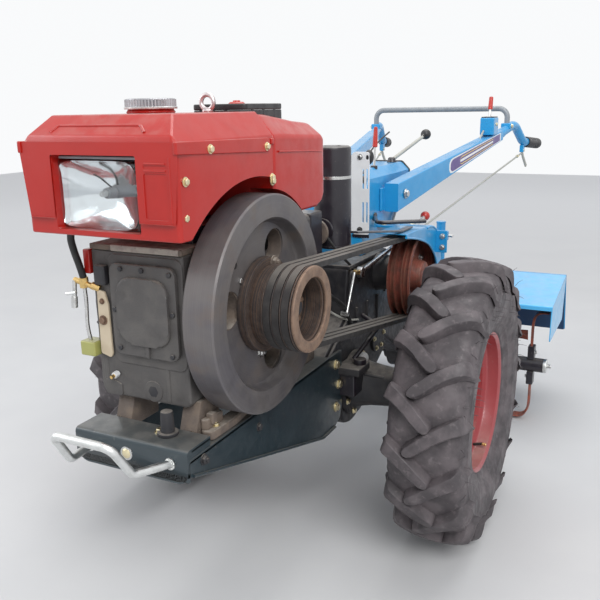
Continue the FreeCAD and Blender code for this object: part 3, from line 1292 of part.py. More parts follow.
def build():
    """Every node's name and its solids."""
    wheel_x = TRACK / 2
    left_rim = rim(wheel_x, RIM_DISC_X)
    left_tyre = tyre(wheel_x)
    left_axle = axle()
    return {
        "front_plate": front_plate(),
        "side_rails": side_rails(),
        "bumper": bumper(),
        "engine_block": engine_block(),
        "engine_cover": engine_cover(),
        "cylinder_head": cylinder_head(),
        "fuel_tank": fuel_tank(),
        "lamp_housing": lamp_housing(),
        "headlamp": headlamp(),
        "filler_box": filler_box(),
        "fuel_cap": fuel_cap(),
        "lifting_eye": lifting_eye(),
        "muffler": muffler(),
        "muffler_guard": muffler_guard(),
        "fuel_pump": fuel_pump(),
        "gearbox": gearbox(),
        "axle_housings": both_sides(axle_housing()),
        "handle_console": handle_console(),
        "handle_beams": both_sides(handle_beam()),
        "handle_tubes": both_sides(handle_tube()),
        "grips": both_sides(grip()),
        "handle_bow": handle_bow(),
        "gear_lever": gear_lever(),
        "side_lever": side_lever(),
        "steering_levers": both_sides(steering_lever()),
        "throttle_box": throttle_box(),
        "control_rods": control_rods(),
        "belt_guard": belt_guard(),
        "guard_rod": guard_rod(),
        "drive_belts": drive_belts(),
        "tiller_case": tiller_case(),
        "tiller_cover": tiller_cover(),
        "tail_fork": tail_fork(),
        "flywheel": flywheel(),
        "drive_pulley": drive_pulley(),
        "clutch_drum": clutch_drum(),
        "left_tyre": left_tyre,
        "left_rim": left_rim,
        "left_axle": left_axle,
        "right_tyre": mirrored(left_tyre),
        "right_rim": mirrored(left_rim),
        "right_axle": mirrored(left_axle),
        "rotor_shaft": rotor_shaft(),
        "tines": tines(),
        "tail_wheel": tail_wheel(),
    }


def main():
    """Write one file for each node."""
    os.makedirs("parts", exist_ok=True)
    shift = V(0, -(FRONT_END_Y + rear_end_y()) / 2, 0)
    print("moved along Y by", round(shift.y, 3))
    for name, shape in build().items():
        shape.translate(shift)
        shape.exportStep(f"parts/{name}.step")
        sizes = shape.BoundBox
        litres = round(shape.Volume / 1e6, 3)
        print(name, "solids", len(shape.Solids), "valid", shape.isValid(), "litres", litres,
              "y", round(sizes.YMin), round(sizes.YMax), "z", round(sizes.ZMin), round(sizes.ZMax))


main()
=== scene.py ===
import math
import random

import bmesh
import bpy
from mathutils import Matrix, Quaternion, Vector


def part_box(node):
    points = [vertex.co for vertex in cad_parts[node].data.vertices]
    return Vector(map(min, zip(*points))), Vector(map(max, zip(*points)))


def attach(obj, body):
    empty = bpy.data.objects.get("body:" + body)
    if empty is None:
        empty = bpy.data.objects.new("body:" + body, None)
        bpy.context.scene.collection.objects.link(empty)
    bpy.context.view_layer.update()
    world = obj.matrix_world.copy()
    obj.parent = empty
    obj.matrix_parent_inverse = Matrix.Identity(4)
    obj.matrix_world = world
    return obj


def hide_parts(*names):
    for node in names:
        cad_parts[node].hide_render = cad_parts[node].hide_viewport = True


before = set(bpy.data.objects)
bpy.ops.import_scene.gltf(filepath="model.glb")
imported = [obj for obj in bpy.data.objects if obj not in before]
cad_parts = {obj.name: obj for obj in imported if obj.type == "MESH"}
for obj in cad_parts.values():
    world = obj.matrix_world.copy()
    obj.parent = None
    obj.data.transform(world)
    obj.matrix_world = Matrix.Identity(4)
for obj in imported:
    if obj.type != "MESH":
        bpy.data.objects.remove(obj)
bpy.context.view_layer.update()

# Walking tractor with a single-cylinder horizontal engine and a rotary tiller.
# Forms are laid out in millimetres with the wheel axle at Y = 0 and the ground at Z = 0,
# +X to the machine's own left and -Y forwards, and are moved into the frame when a piece is made.

MM = 0.001
axle_low, axle_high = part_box("left_axle")
AXLE_Y = (axle_low.y + axle_high.y) / 2
SHARP = math.radians(38)
X, Y, Z = Vector((1, 0, 0)), Vector((0, 1, 0)), Vector((0, 0, 1))
random.seed(7)

# Driving sizes that the forms share
TYRE_R = 320.0
TRACK_HALF = 370.0
CRANK = Vector((0, -465, 632))
CLUTCH = Vector((0, 175, 556))
PLATE_FRONT = -694.0
PLATE_TOP = 446.0
RAIL_TOP = 428.0
FRAME_HALF = 115.0
BEAM_START = Vector((105, 232, 731))
BEAM_END = Vector((221, 985, 864))
TUBE_END = Vector((293, 1324, 822))
ROTOR = Vector((0, 690, 180))
TAIL = Vector((0, 1120, 112))


# Materials

def node(tree, kind, **values):
    """A shader node with its plain properties and its named or numbered inputs set."""
    made = tree.nodes.new("ShaderNode" + kind)
    for key, value in values.items():
        if hasattr(made, key):
            setattr(made, key, value)
        else:
            name = key.replace("_", " ")
            made.inputs[name].default_value = value
    return made


def rgba(colour):
    return (*colour, 1.0)


class Finish:
    """Builds one procedural material around a Principled shader."""

    def __init__(self, name, colour, roughness=0.5, metallic=0.0, coat=0.0, coat_roughness=0.1):
        self.material = bpy.data.materials.new(name)
        self.material.use_nodes = True
        self.tree = self.material.node_tree
        self.shader = self.tree.nodes["Principled BSDF"]
        self.shader.inputs["Metallic"].default_value = metallic
        self.shader.inputs["Coat Weight"].default_value = coat
        self.shader.inputs["Coat Roughness"].default_value = coat_roughness
        self.place = self.tree.nodes.new("ShaderNodeTexCoord")
        self.shader.inputs["Base Color"].default_value = rgba(colour)
        self.shader.inputs["Roughness"].default_value = roughness
        self.first_colour = colour
        self.colour = None
        self.rough = None
        self.height = None

    def link(self, source, target):
        self.tree.links.new(source, target)

    def noise(self, size_mm, detail=4.0, stretch=(1, 1, 1), rough=0.55):
        """Noise with features of about this size; stretch makes them longer along an axis."""
        mapping = node(self.tree, "Mapping")
        mapping.inputs["Scale"].default_value = [1 / (size_mm * MM * s) for s in stretch]
        self.link(self.place.outputs["Object"], mapping.inputs["Vector"])
        made = node(self.tree, "TexNoise", Scale=1.0, Detail=detail, Roughness=rough)
        self.link(mapping.outputs[0], made.inputs["Vector"])
        return made.outputs["Fac"]

    def ramp(self, value, low, high, out_low=0.0, out_high=1.0):
        made = node(self.tree, "MapRange")
        made.interpolation_type = "SMOOTHSTEP"
        for name, number in (("From Min", low), ("From Max", high), ("To Min", out_low), ("To Max", out_high)):
            made.inputs[name].default_value = number
        self.link(value, made.inputs["Value"])
        return made.outputs["Result"]

    def math(self, kind, a, b):
        made = node(self.tree, "Math", operation=kind)
        for slot, value in zip(made.inputs, (a, b)):
            if isinstance(value, (int, float)):
                slot.default_value = value
            else:
                self.link(value, slot)
        return made.outputs[0]

    def tint(self, colour, factor):
        """Mix another colour over what there is, by a factor."""
        made = node(self.tree, "Mix", data_type="RGBA")
        self.link(factor, made.inputs["Factor"])
        made.inputs[6].default_value = rgba(self.first_colour)
        if self.colour is not None:
            self.link(self.colour, made.inputs[6])
        made.inputs[7].default_value = rgba(colour)
        self.colour = made.outputs[2]
        return self

    def patches(self, colour, size_mm, low=0.45, high=0.65, strength=1.0, stretch=(1, 1, 1), detail=4.0):
        """Uneven patches of another colour."""
        return self.tint(colour, self.ramp(self.noise(size_mm, detail, stretch), low, high, 0.0, strength))

    def upward_dust(self, colour, strength=0.5, size_mm=30):
        """Dust on faces that look up, broken by noise."""
        split = node(self.tree, "SeparateXYZ")
        self.link(self.place.outputs["Normal"], split.inputs[0])
        up = self.ramp(split.outputs[2], 0.55, 0.98)
        spots = self.ramp(self.noise(size_mm), 0.35, 0.65, 0.25, strength)
        return self.tint(colour, self.math("MULTIPLY", up, spots))

    def low_dust(self, colour, top_m, bottom_m, strength=0.6, size_mm=60):
        """Dust that gets thicker towards the ground."""
        split = node(self.tree, "SeparateXYZ")
        self.link(self.place.outputs["Object"], split.inputs[0])
        low = self.ramp(split.outputs[2], top_m, bottom_m)
        spots = self.ramp(self.noise(size_mm), 0.3, 0.7, 0.3, strength)
        return self.tint(colour, self.math("MULTIPLY", low, spots))

    def uneven_gloss(self, size_mm, low, high):
        """Roughness that varies between two values."""
        self.rough = self.ramp(self.noise(size_mm, 5.0), 0.3, 0.7, low, high)
        return self

    def relief(self, value, distance_mm, strength=1.0):
        """Bump from a value, on top of what there is."""
        made = node(self.tree, "Bump", Strength=strength, Distance=distance_mm * MM)
        self.link(value, made.inputs["Height"])
        if self.height is not None:
            self.link(self.height, made.inputs["Normal"])
        self.height = made.outputs[0]
        return self

    def grain(self, size_mm, distance_mm, detail=3.0, stretch=(1, 1, 1), strength=1.0):
        return self.relief(self.noise(size_mm, detail, stretch), distance_mm, strength)

    def turning(self, centre, pitch_mm, distance_mm, colour=None, strength=0.4):
        """Fine rings about a line along X, as a lathe leaves them."""
        where = node(self.tree, "VectorMath", operation="SUBTRACT")
        self.link(self.place.outputs["Object"], where.inputs[0])
        where.inputs[1].default_value = (0, centre.y * MM + AXLE_Y, centre.z * MM)
        flat = node(self.tree, "VectorMath", operation="MULTIPLY")
        self.link(where.outputs[0], flat.inputs[0])
        flat.inputs[1].default_value = (0, 1, 1)
        length = node(self.tree, "VectorMath", operation="LENGTH")
        self.link(flat.outputs[0], length.inputs[0])
        split = node(self.tree, "SeparateXYZ")
        self.link(where.outputs[0], split.inputs[0])
        both = node(self.tree, "CombineXYZ")
        self.link(length.outputs["Value"], both.inputs[0])
        self.link(split.outputs[0], both.inputs[1])
        made = node(self.tree, "TexNoise", Scale=1 / (pitch_mm * MM), Detail=3.0, Roughness=0.7)
        self.link(both.outputs[0], made.inputs["Vector"])
        if colour is not None:
            self.tint(colour, self.ramp(made.outputs["Fac"], 0.42, 0.62, 0.0, strength))
        return self.relief(made.outputs["Fac"], distance_mm)

    def done(self):
        if self.colour is not None:
            self.link(self.colour, self.shader.inputs["Base Color"])
        if self.rough is not None:
            self.link(self.rough, self.shader.inputs["Roughness"])
        if self.height is not None:
            self.link(self.height, self.shader.inputs["Normal"])
        return self.material


DUST = (0.42, 0.38, 0.33)


def paint(name, colour, worn, coat=0.45, dust=0.25, haze=0.18):
    """Sprayed gloss paint with slight orange peel, dull patches and settled dust."""
    made = Finish(name, colour, coat=coat, coat_roughness=0.12)
    made.patches(worn, 45, 0.42, 0.72, 0.5)
    made.patches(DUST, 9, 0.62, 0.78, haze, detail=6)
    made.upward_dust(DUST, dust)
    made.uneven_gloss(25, 0.28, 0.46)
    made.grain(3.2, 0.05, 2).grain(60, 0.5, 1)
    return made.done()


def casting(name, colour, second, grain=2.2, height=0.35, rough=(0.55, 0.8), dust=0.4, metallic=0.0):
    """Sand-cast metal with a rough skin and grime."""
    made = Finish(name, colour, metallic=metallic)
    made.patches(second, 28, 0.4, 0.66, 0.8, detail=6)
    made.patches((0.02, 0.018, 0.016), 60, 0.55, 0.75, 0.5)
    made.upward_dust(DUST, dust, 18)
    made.uneven_gloss(14, *rough)
    made.grain(grain, height, 5).grain(16, 0.6, 2)
    return made.done()


def metal(name, colour, second, roughness=(0.25, 0.45), size=12, scratch=0.05):
    """Plated or bare metal with uneven shine."""
    made = Finish(name, colour, metallic=1.0)
    made.patches(second, size, 0.45, 0.7, 0.6, detail=5)
    made.uneven_gloss(size, *roughness)
    made.grain(1.4, scratch, 3)
    return made.done()


def plain(name, colour, second, roughness=(0.4, 0.6), grain=1.0, height=0.06, dust=0.15):
    """Plastic or rubber with a fine grain."""
    made = Finish(name, colour)
    made.patches(second, 22, 0.42, 0.7, 0.6)
    made.upward_dust(DUST, dust)
    made.uneven_gloss(18, *roughness)
    made.grain(grain, height, 3)
    return made.done()


def tyre_rubber(name):
    """Dusty black tyre rubber."""
    made = Finish(name, (0.060, 0.052, 0.056))
    made.patches((0.135, 0.115, 0.121), 55, 0.38, 0.66, 0.8, detail=6)
    made.patches((0.22, 0.19, 0.195), 12, 0.55, 0.75, 0.45, detail=6)
    made.uneven_gloss(20, 0.5, 0.78)
    made.grain(1.6, 0.12, 4).grain(24, 0.5, 2)
    return made.done()


def bare_iron(name):
    """Machined cast iron with turning marks and blue-brown staining."""
    made = Finish(name, (0.155, 0.142, 0.140), metallic=0.5)
    made.patches((0.11, 0.104, 0.118), 95, 0.4, 0.62, 0.75, detail=3)
    made.patches((0.175, 0.135, 0.11), 70, 0.52, 0.72, 0.6, detail=5)
    made.turning(CRANK, 1.8, 0.02, (0.20, 0.19, 0.185), 0.22)
    made.uneven_gloss(35, 0.38, 0.58)
    made.grain(2.0, 0.05, 3)
    return made.done()


def rusty_iron(name, colour, second, centre=None, metallic=0.3):
    """Iron with brown rust, turned about a line where a centre is given."""
    made = Finish(name, colour, metallic=metallic)
    made.patches(second, 18, 0.4, 0.64, 0.9, detail=6)
    made.patches((0.05, 0.03, 0.025), 8, 0.56, 0.74, 0.6, detail=6)
    if centre is not None:
        made.turning(centre, 2.4, 0.12, (0.3, 0.17, 0.1), 0.35)
    made.uneven_gloss(12, 0.5, 0.8)
    made.grain(1.8, 0.18, 5)
    return made.done()


def lens_glass(name):
    """Clear moulded lens."""
    made = Finish(name, (0.93, 0.96, 0.97), roughness=0.03)
    made.shader.inputs["Transmission Weight"].default_value = 1.0
    made.shader.inputs["IOR"].default_value = 1.45
    made.grain(14, 0.06, 2)
    return made.done()


RED = paint("red_paint", (0.41, 0.008, 0.003), (0.35, 0.007, 0.003), coat=0.3, dust=0.02, haze=0.04)
BLUE = paint("blue_paint", (0.015, 0.30, 0.62), (0.01, 0.25, 0.54), coat=0.5, dust=0.12)
RIM_RED = paint("rim_red_paint", (0.34, 0.055, 0.06), (0.29, 0.05, 0.055), coat=0.25, dust=0.4)
FRAME_BLACK = paint("green_black_paint", (0.020, 0.034, 0.042), (0.028, 0.043, 0.052), coat=0.4, dust=0.14)
BLACK_METAL = paint("black_enamel", (0.016, 0.013, 0.019), (0.024, 0.022, 0.028), coat=0.25, dust=0.2)
BLOCK = casting("engine_casting", (0.075, 0.07, 0.068), (0.105, 0.098, 0.092), 3.0, 0.35, (0.42, 0.66), 0.55)
ROUGH_CAST = casting("raw_casting", (0.12, 0.095, 0.08), (0.20, 0.155, 0.12), 2.4, 0.8, (0.6, 0.85), 0.7)
GEAR_CAST = casting("gearbox_casting", (0.022, 0.022, 0.026), (0.045, 0.042, 0.043), 3.0, 0.4, (0.4, 0.65), 0.5)
IRON = bare_iron("machined_iron")
PULLEY_IRON = rusty_iron("pulley_iron", (0.052, 0.048, 0.05), (0.085, 0.068, 0.06), CRANK, 0.6)
PULLEY_RING = rusty_iron("rusty_ring", (0.25, 0.175, 0.13), (0.17, 0.12, 0.095), CRANK, 0.35)
HUB_RUST = rusty_iron("hub_rust", (0.19, 0.125, 0.09), (0.09, 0.065, 0.05), CRANK, 0.35)
DRUM_RED = rusty_iron("drum_red_oxide", (0.23, 0.055, 0.038), (0.14, 0.045, 0.035), CLUTCH, 0.1)
TINE_RUST = rusty_iron("tine_oxide", (0.32, 0.075, 0.04), (0.16, 0.06, 0.045), None, 0.1)
ZINC = metal("yellow_zinc", (0.78, 0.69, 0.46), (0.62, 0.54, 0.36), (0.25, 0.45), 5)
STEEL = metal("bright_steel", (0.62, 0.62, 0.61), (0.42, 0.41, 0.40), (0.22, 0.42), 10)
SILVER = metal("silver_bar", (0.74, 0.75, 0.74), (0.55, 0.56, 0.55), (0.28, 0.5), 16, 0.12)
BRASS = metal("brass", (0.72, 0.50, 0.20), (0.5, 0.36, 0.17), (0.25, 0.45), 8)
PINK_METAL = metal("eye_metal", (0.62, 0.55, 0.55), (0.48, 0.42, 0.42), (0.3, 0.5), 8)
WHITE_METAL = paint("pale_zinc_sheet", (0.72, 0.73, 0.73), (0.64, 0.65, 0.66), coat=0.2, dust=0.1)
OLIVE = paint("olive_plating", (0.36, 0.36, 0.11), (0.27, 0.25, 0.10), coat=0.3, dust=0.3)
STRIP_WHITE = paint("white_strip", (0.86, 0.87, 0.88), (0.76, 0.77, 0.78), coat=0.3, dust=0.04)
CREAM = paint("cream_strip", (0.56, 0.47, 0.34), (0.42, 0.33, 0.22), coat=0.1, dust=0.2)
# A lighter copy of the blue paint, for the tiller cover's top sheet, lip and end plates: painted light
LIT_BLUE = paint("blue_paint_painted_light", (0.10, 0.50, 0.88), (0.08, 0.42, 0.78), coat=0.6, dust=0.1)
# A dark navy copy of the blue paint, for the inner side of the cover's rear flap: painted shade
SHADED_NAVY = paint("blue_paint_painted_shade", (0.005, 0.045, 0.13), (0.004, 0.035, 0.10), coat=0.2, dust=0.1)
CAP_ALLOY = metal("cap_alloy", (0.44, 0.44, 0.46), (0.30, 0.295, 0.30), (0.3, 0.5), 8, 0.12)
BLACK_PLASTIC = plain("black_plastic", (0.018, 0.018, 0.020), (0.03, 0.03, 0.032), (0.3, 0.5))
RUBBER = plain("hose_rubber", (0.014, 0.014, 0.015), (0.03, 0.029, 0.028), (0.45, 0.65))
BELT = plain("belt_rubber", (0.024, 0.022, 0.022), (0.05, 0.046, 0.044), (0.55, 0.75), 0.8, 0.15, 0.3)
BELT_TOP = plain("belt_cloth", (0.17, 0.16, 0.155), (0.10, 0.095, 0.09), (0.6, 0.85), 0.9, 0.2, 0.3)
TYRE = tyre_rubber("tyre_rubber")
RED_PLASTIC = plain("red_plastic", (0.50, 0.03, 0.02), (0.40, 0.025, 0.02), (0.25, 0.4))
GREY_PLASTIC = plain("grey_plastic", (0.30, 0.31, 0.33), (0.24, 0.25, 0.26), (0.35, 0.5))
CABLE_GREY = plain("grey_cable", (0.42, 0.42, 0.38), (0.34, 0.33, 0.30), (0.4, 0.6))
TRIM_BLACK = plain("black_edge_trim", (0.012, 0.012, 0.014), (0.02, 0.02, 0.022), (0.4, 0.6))
LENS = lens_glass("lens_glass")
MIRROR = metal("lamp_mirror", (0.86, 0.87, 0.88), (0.78, 0.79, 0.80), (0.06, 0.14), 20, 0.02)
STRIPE_GOLD = paint("gold_stripe", (0.75, 0.55, 0.10), (0.65, 0.47, 0.09), coat=0.3, dust=0.05)
STRIPE_WHITE = paint("white_stripe", (0.78, 0.79, 0.80), (0.70, 0.71, 0.72), coat=0.3, dust=0.05)
STRIPE_PURPLE = paint("violet_stripe", (0.09, 0.05, 0.22), (0.07, 0.04, 0.18), coat=0.3, dust=0.05)


# Forms: each function returns a bmesh in millimetres

def soften(form, width, steps=2, over=SHARP):
    """Round a form's own sharp edges."""
    if width <= 0:
        return form
    bmesh.ops.recalc_face_normals(form, faces=form.faces)
    edges = [e for e in form.edges if len(e.link_faces) == 2 and e.calc_face_angle(0) > over]
    if edges:
        bmesh.ops.bevel(form, geom=edges, offset=width, offset_type="OFFSET", segments=steps,
                        profile=0.5, affect="EDGES", clamp_overlap=True)
    return form


def block(low, high, bevel=1.5, steps=2):
    """A box between two corners."""
    form = bmesh.new()
    bmesh.ops.create_cube(form, size=1)
    low, high = Vector(low), Vector(high)
    for v in form.verts:
        v.co = Vector([low[n] if v.co[n] < 0 else high[n] for n in range(3)])
    return soften(form, bevel, steps)


def along_axis(axis, a, b, depth):
    """A point from two coordinates of an outline and its depth along the axis."""
    return Vector({"x": (depth, a, b), "y": (a, depth, b), "z": (a, b, depth)}[axis])


def prism(outline, axis, start, end, bevel=1.2, steps=2):
    """A closed outline made thick: (y, z) along x, (x, z) along y or (x, y) along z."""
    form = bmesh.new()
    near = [form.verts.new(along_axis(axis, a, b, start)) for a, b in outline]
    far = [form.verts.new(along_axis(axis, a, b, end)) for a, b in outline]
    form.faces.new(near)
    form.faces.new(far[::-1])
    for n in range(len(near)):
        m = (n + 1) % len(near)
        form.faces.new((near[n], near[m], far[m], far[n]))
    return soften(form, bevel, steps)


def rounded(points, radius, steps=4):
    """A closed outline with its corners rounded, by one radius or one for each corner."""
    out = []
    count = len(points)
    for n in range(count):
        r = radius[n] if isinstance(radius, (list, tuple)) else radius
        before, corner, after = (Vector(points[(n + k) % count]).to_2d() for k in (-1, 0, 1))
        back, ahead = before - corner, after - corner
        half = back.angle(ahead) / 2
        if r <= 0 or half > 1.55:
            out.append(tuple(corner))
            continue
        reach = min(r / math.tan(half), 0.49 * min(back.length, ahead.length))
        start = corner + back.normalized() * reach
        end = corner + ahead.normalized() * reach
        centre = corner + (back.normalized() + ahead.normalized()).normalized() * (reach / math.cos(half))
        a0 = math.atan2(start.y - centre.y, start.x - centre.x)
        a1 = math.atan2(end.y - centre.y, end.x - centre.x)
        turn = (a1 - a0 + math.pi) % (2 * math.pi) - math.pi
        size = (start - centre).length
        for k in range(steps + 1):
            angle = a0 + turn * k / steps
            out.append((centre.x + size * math.cos(angle), centre.y + size * math.sin(angle)))
    return out


def rectangle(a0, a1, b0, b1):
    return [(a0, b0), (a1, b0), (a1, b1), (a0, b1)]


def circle(a, b, radius, steps=32, first=0.0):
    turn = [first + 2 * math.pi * n / steps for n in range(steps)]
    return [(a + radius * math.cos(t), b + radius * math.sin(t)) for t in turn]


def plate(outline, holes, axis, start, end, bevel=0.6):
    """A flat plate with holes and softened rims."""
    curve = bpy.data.curves.new("plate", "CURVE")
    curve.dimensions = "2D"
    curve.fill_mode = "BOTH"
    curve.extrude = abs(end - start) / 2 - bevel
    curve.bevel_depth = bevel
    curve.bevel_resolution = 1
    curve.offset = -bevel
    for ring in [outline] + list(holes):
        spline = curve.splines.new("POLY")
        spline.points.add(len(ring) - 1)
        for point, (a, b) in zip(spline.points, ring):
            point.co = (a, b, 0, 1)
        spline.use_cyclic_u = True
    carrier = bpy.data.objects.new("plate", curve)
    mesh = bpy.data.meshes.new_from_object(carrier)
    form = bmesh.new()
    form.from_mesh(mesh)
    bpy.data.objects.remove(carrier)
    bpy.data.curves.remove(curve)
    bpy.data.meshes.remove(mesh)
    bmesh.ops.remove_doubles(form, verts=form.verts, dist=0.01)
    middle = (start + end) / 2
    for v in form.verts:
        v.co = along_axis(axis, v.co.x, v.co.y, middle + v.co.z)
    bmesh.ops.recalc_face_normals(form, faces=form.faces)
    return form


def lathe(profile, centre, along=X, steps=48, bevel=0.0, closed=False):
    """A turned form: (offset, radius) points about a line through the centre."""
    form = bmesh.new()
    along = Vector(along).normalized()
    turn = Z.rotation_difference(along)
    rings = []
    for offset, radius in profile:
        if radius < 0.001:
            rings.append([form.verts.new((0, 0, offset))])
            continue
        rings.append([form.verts.new((radius * math.cos(t), radius * math.sin(t), offset))
                      for t in (2 * math.pi * n / steps for n in range(steps))])
    pairs = list(zip(rings, rings[1:]))
    if closed:
        pairs.append((rings[-1], rings[0]))
    for a, b in pairs:
        if len(a) == 1 and len(b) == 1:
            continue
        for n in range(steps):
            m = (n + 1) % steps
            if len(a) == 1:
                form.faces.new((a[0], b[n], b[m]))
            elif len(b) == 1:
                form.faces.new((a[n], a[m], b[0]))
            else:
                form.faces.new((a[n], a[m], b[m], b[n]))
    soften(form, bevel, 2)
    bmesh.ops.rotate(form, verts=form.verts, cent=(0, 0, 0), matrix=turn.to_matrix())
    bmesh.ops.translate(form, verts=form.verts, vec=Vector(centre))
    bmesh.ops.recalc_face_normals(form, faces=form.faces)
    return form


def disc(centre, along, low, high, radius, bevel=1.0, steps=40):
    """A round plate or bar between two offsets along a line."""
    return lathe([(low, 0), (low, radius), (high, radius), (high, 0)], centre, along, steps, bevel)


def ring(centre, along, low, high, inner, outer, bevel=0.8, steps=48):
    """A round plate with a hole."""
    return lathe([(low, inner), (low, outer), (high, outer), (high, inner)], centre, along, steps, bevel, True)


def bar(start, end, radius, bevel=0.8, steps=16, end_radius=None):
    """A round bar between two points."""
    start, end = Vector(start), Vector(end)
    run = end - start
    last = radius if end_radius is None else end_radius
    return lathe([(0, 0), (0, radius), (run.length, last), (run.length, 0)], start, run, steps, bevel)


def ball(centre, radius, stretch=(1, 1, 1), steps=24):
    form = bmesh.new()
    bmesh.ops.create_uvsphere(form, u_segments=steps, v_segments=steps // 2, radius=radius)
    for v in form.verts:
        v.co = Vector([v.co[n] * stretch[n] for n in range(3)]) + Vector(centre)
    return form


def bent(points, radius, steps=5):
    """Straight runs joined by arcs, as places."""
    points = [Vector(p) for p in points]
    out = [points[0]]
    for before, corner, after in zip(points, points[1:], points[2:]):
        back, ahead = before - corner, after - corner
        half = back.angle(ahead) / 2
        if half > 1.55:
            out.append(corner)
            continue
        reach = min(radius / math.tan(half), 0.48 * min(back.length, ahead.length))
        start = corner + back.normalized() * reach
        centre = corner + (back.normalized() + ahead.normalized()).normalized() * (reach / math.cos(half))
        axis = ahead.cross(back).normalized()
        for k in range(steps + 1):
            angle = -(math.pi - 2 * half) * k / steps
            out.append(centre + Quaternion(axis, -angle) @ (start - centre))
    out.append(points[-1])
    return out


def sweep(path, section, closed=False, up=None):
    """A section of (side, up) points carried along a path; section may be a function of the share."""
    form = bmesh.new()
    path = [Vector(p) for p in path]
    count = len(path)
    rings = []
    side = None
    for n in range(count):
        if closed:
            ahead = (path[(n + 1) % count] - path[n - 1]).normalized()
        else:
            ahead = (path[min(n + 1, count - 1)] - path[max(n - 1, 0)]).normalized()
        if up is not None:
            side = ahead.cross(Vector(up)).normalized()
        elif side is None:
            side = ahead.cross(Z if abs(ahead.z) < 0.9 else X).normalized()
        else:
            side = (side - ahead * side.dot(ahead)).normalized()
        over = side.cross(ahead).normalized()
        shape = section(n / max(count - 1, 1)) if callable(section) else section
        rings.append([form.verts.new(path[n] + side * a + over * b) for a, b in shape])
    size = len(rings[0])
    pairs = list(zip(rings, rings[1:]))
    if closed:
        pairs.append((rings[-1], rings[0]))
    for a, b in pairs:
        for n in range(size):
            m = (n + 1) % size
            form.faces.new((a[n], a[m], b[m], b[n]))
    if not closed:
        form.faces.new(rings[0][::-1])
        form.faces.new(rings[-1])
    bmesh.ops.recalc_face_normals(form, faces=form.faces)
    return form


def tube(points, radius, bend=20.0, steps=12, closed=False, bevel_steps=5):
    """A round tube or wire along points, with its corners bent."""
    path = bent(points, bend, bevel_steps) if bend else points
    return sweep(path, circle(0, 0, radius, steps), closed)


def smooth_line(points, per_run=6):
    """A smooth line through points."""
    points = [Vector(p) for p in points]
    ends = [points[0] * 2 - points[1]] + points + [points[-1] * 2 - points[-2]]
    out = []
    for p0, p1, p2, p3 in zip(ends, ends[1:], ends[2:], ends[3:]):
        for k in range(per_run):
            t = k / per_run
            out.append(0.5 * ((2 * p1) + (p2 - p0) * t + (2 * p0 - 5 * p1 + 4 * p2 - p3) * t * t
                              + (3 * p1 - p0 - 3 * p2 + p3) * t * t * t))
    out.append(points[-1])
    return out


def hose(points, radius, steps=12, per_run=6):
    return sweep(smooth_line(points, per_run), circle(0, 0, radius, steps))


def trim(form, place, outward):
    """Cut a form by a plane, drop what lies outward and close it."""
    parts = form.verts[:] + form.edges[:] + form.faces[:]
    cut = bmesh.ops.bisect_plane(form, geom=parts, plane_co=Vector(place), plane_no=Vector(outward),
                                 clear_outer=True, clear_inner=False)
    rim = [e for e in cut["geom_cut"] if isinstance(e, bmesh.types.BMEdge)]
    bmesh.ops.holes_fill(form, edges=rim, sides=0)
    bmesh.ops.recalc_face_normals(form, faces=form.faces)
    return form


def moved(form, matrix):
    bmesh.ops.transform(form, matrix=matrix, verts=form.verts)
    bmesh.ops.recalc_face_normals(form, faces=form.faces)
    return form


def turned_about(form, centre, axis, degrees):
    """A form turned about a line."""
    centre = Vector(centre)
    matrix = Matrix.Translation(centre) @ Matrix.Rotation(math.radians(degrees), 4, axis)
    return moved(form, matrix @ Matrix.Translation(-centre))


def flipped(form):
    """A form's mirror image on the machine's other side."""
    copy = form.copy()
    for v in copy.verts:
        v.co.x = -v.co.x
    bmesh.ops.reverse_faces(copy, faces=copy.faces)
    return copy


def to_mesh(form, name):
    mesh = bpy.data.meshes.new(name)
    form.to_mesh(mesh)
    form.free()
    return mesh


def carved(form, *cutters):
    """A form with other forms cut out of it."""
    target = bpy.data.objects.new("carved", to_mesh(form, "carved"))
    bpy.context.scene.collection.objects.link(target)
    tools = []
    for cutter in cutters:
        tool = bpy.data.objects.new("cutter", to_mesh(cutter, "cutter"))
        bpy.context.scene.collection.objects.link(tool)
        step = target.modifiers.new("cut", "BOOLEAN")
        step.operation = "DIFFERENCE"
        step.solver = "EXACT"
        step.object = tool
        tools.append(tool)
    mesh = bpy.data.meshes.new_from_object(target.evaluated_get(bpy.context.evaluated_depsgraph_get()))
    out = bmesh.new()
    out.from_mesh(mesh)
    for thing in [target] + tools:
        data = thing.data
        bpy.data.objects.remove(thing)
        bpy.data.meshes.remove(data)
    bpy.data.meshes.remove(mesh)
    bmesh.ops.remove_doubles(out, verts=out.verts, dist=0.005)
    bmesh.ops.dissolve_degenerate(out, edges=out.edges, dist=0.005)
    return out


class Piece:
    """A visible piece gathered from forms, which rides on a body and stands for CAD nodes."""

    def __init__(self, name, body, *nodes):
        self.name = name
        self.body = body
        self.nodes = nodes
        self.form = bmesh.new()
        self.materials = []

    def add(self, form, material, both=False):
        """Take in a form with its material; both adds its mirror image too."""
        if material not in self.materials:
            self.materials.append(material)
        index = self.materials.index(material)
        copies = [form, flipped(form)] if both else [form]
        for one in copies:
            for face in one.faces:
                face.material_index = index
            mesh = to_mesh(one, "form")
            self.form.from_mesh(mesh)
            bpy.data.meshes.remove(mesh)
        return self

    def done(self, slot=None):
        for v in self.form.verts:
            v.co = Vector((v.co.x * MM, v.co.y * MM + AXLE_Y, v.co.z * MM))
        mesh = to_mesh(self.form, self.name)
        for material in self.materials:
            mesh.materials.append(material)
        mesh.shade_smooth()
        mesh.set_sharp_from_angle(angle=SHARP)
        piece = bpy.data.objects.new(self.name, mesh)
        bpy.context.scene.collection.objects.link(piece)
        even = piece.modifiers.new("even shading", "WEIGHTED_NORMAL")
        even.keep_sharp = True
        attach(piece, self.body)
        if self.nodes:
            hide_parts(*self.nodes)
        return piece


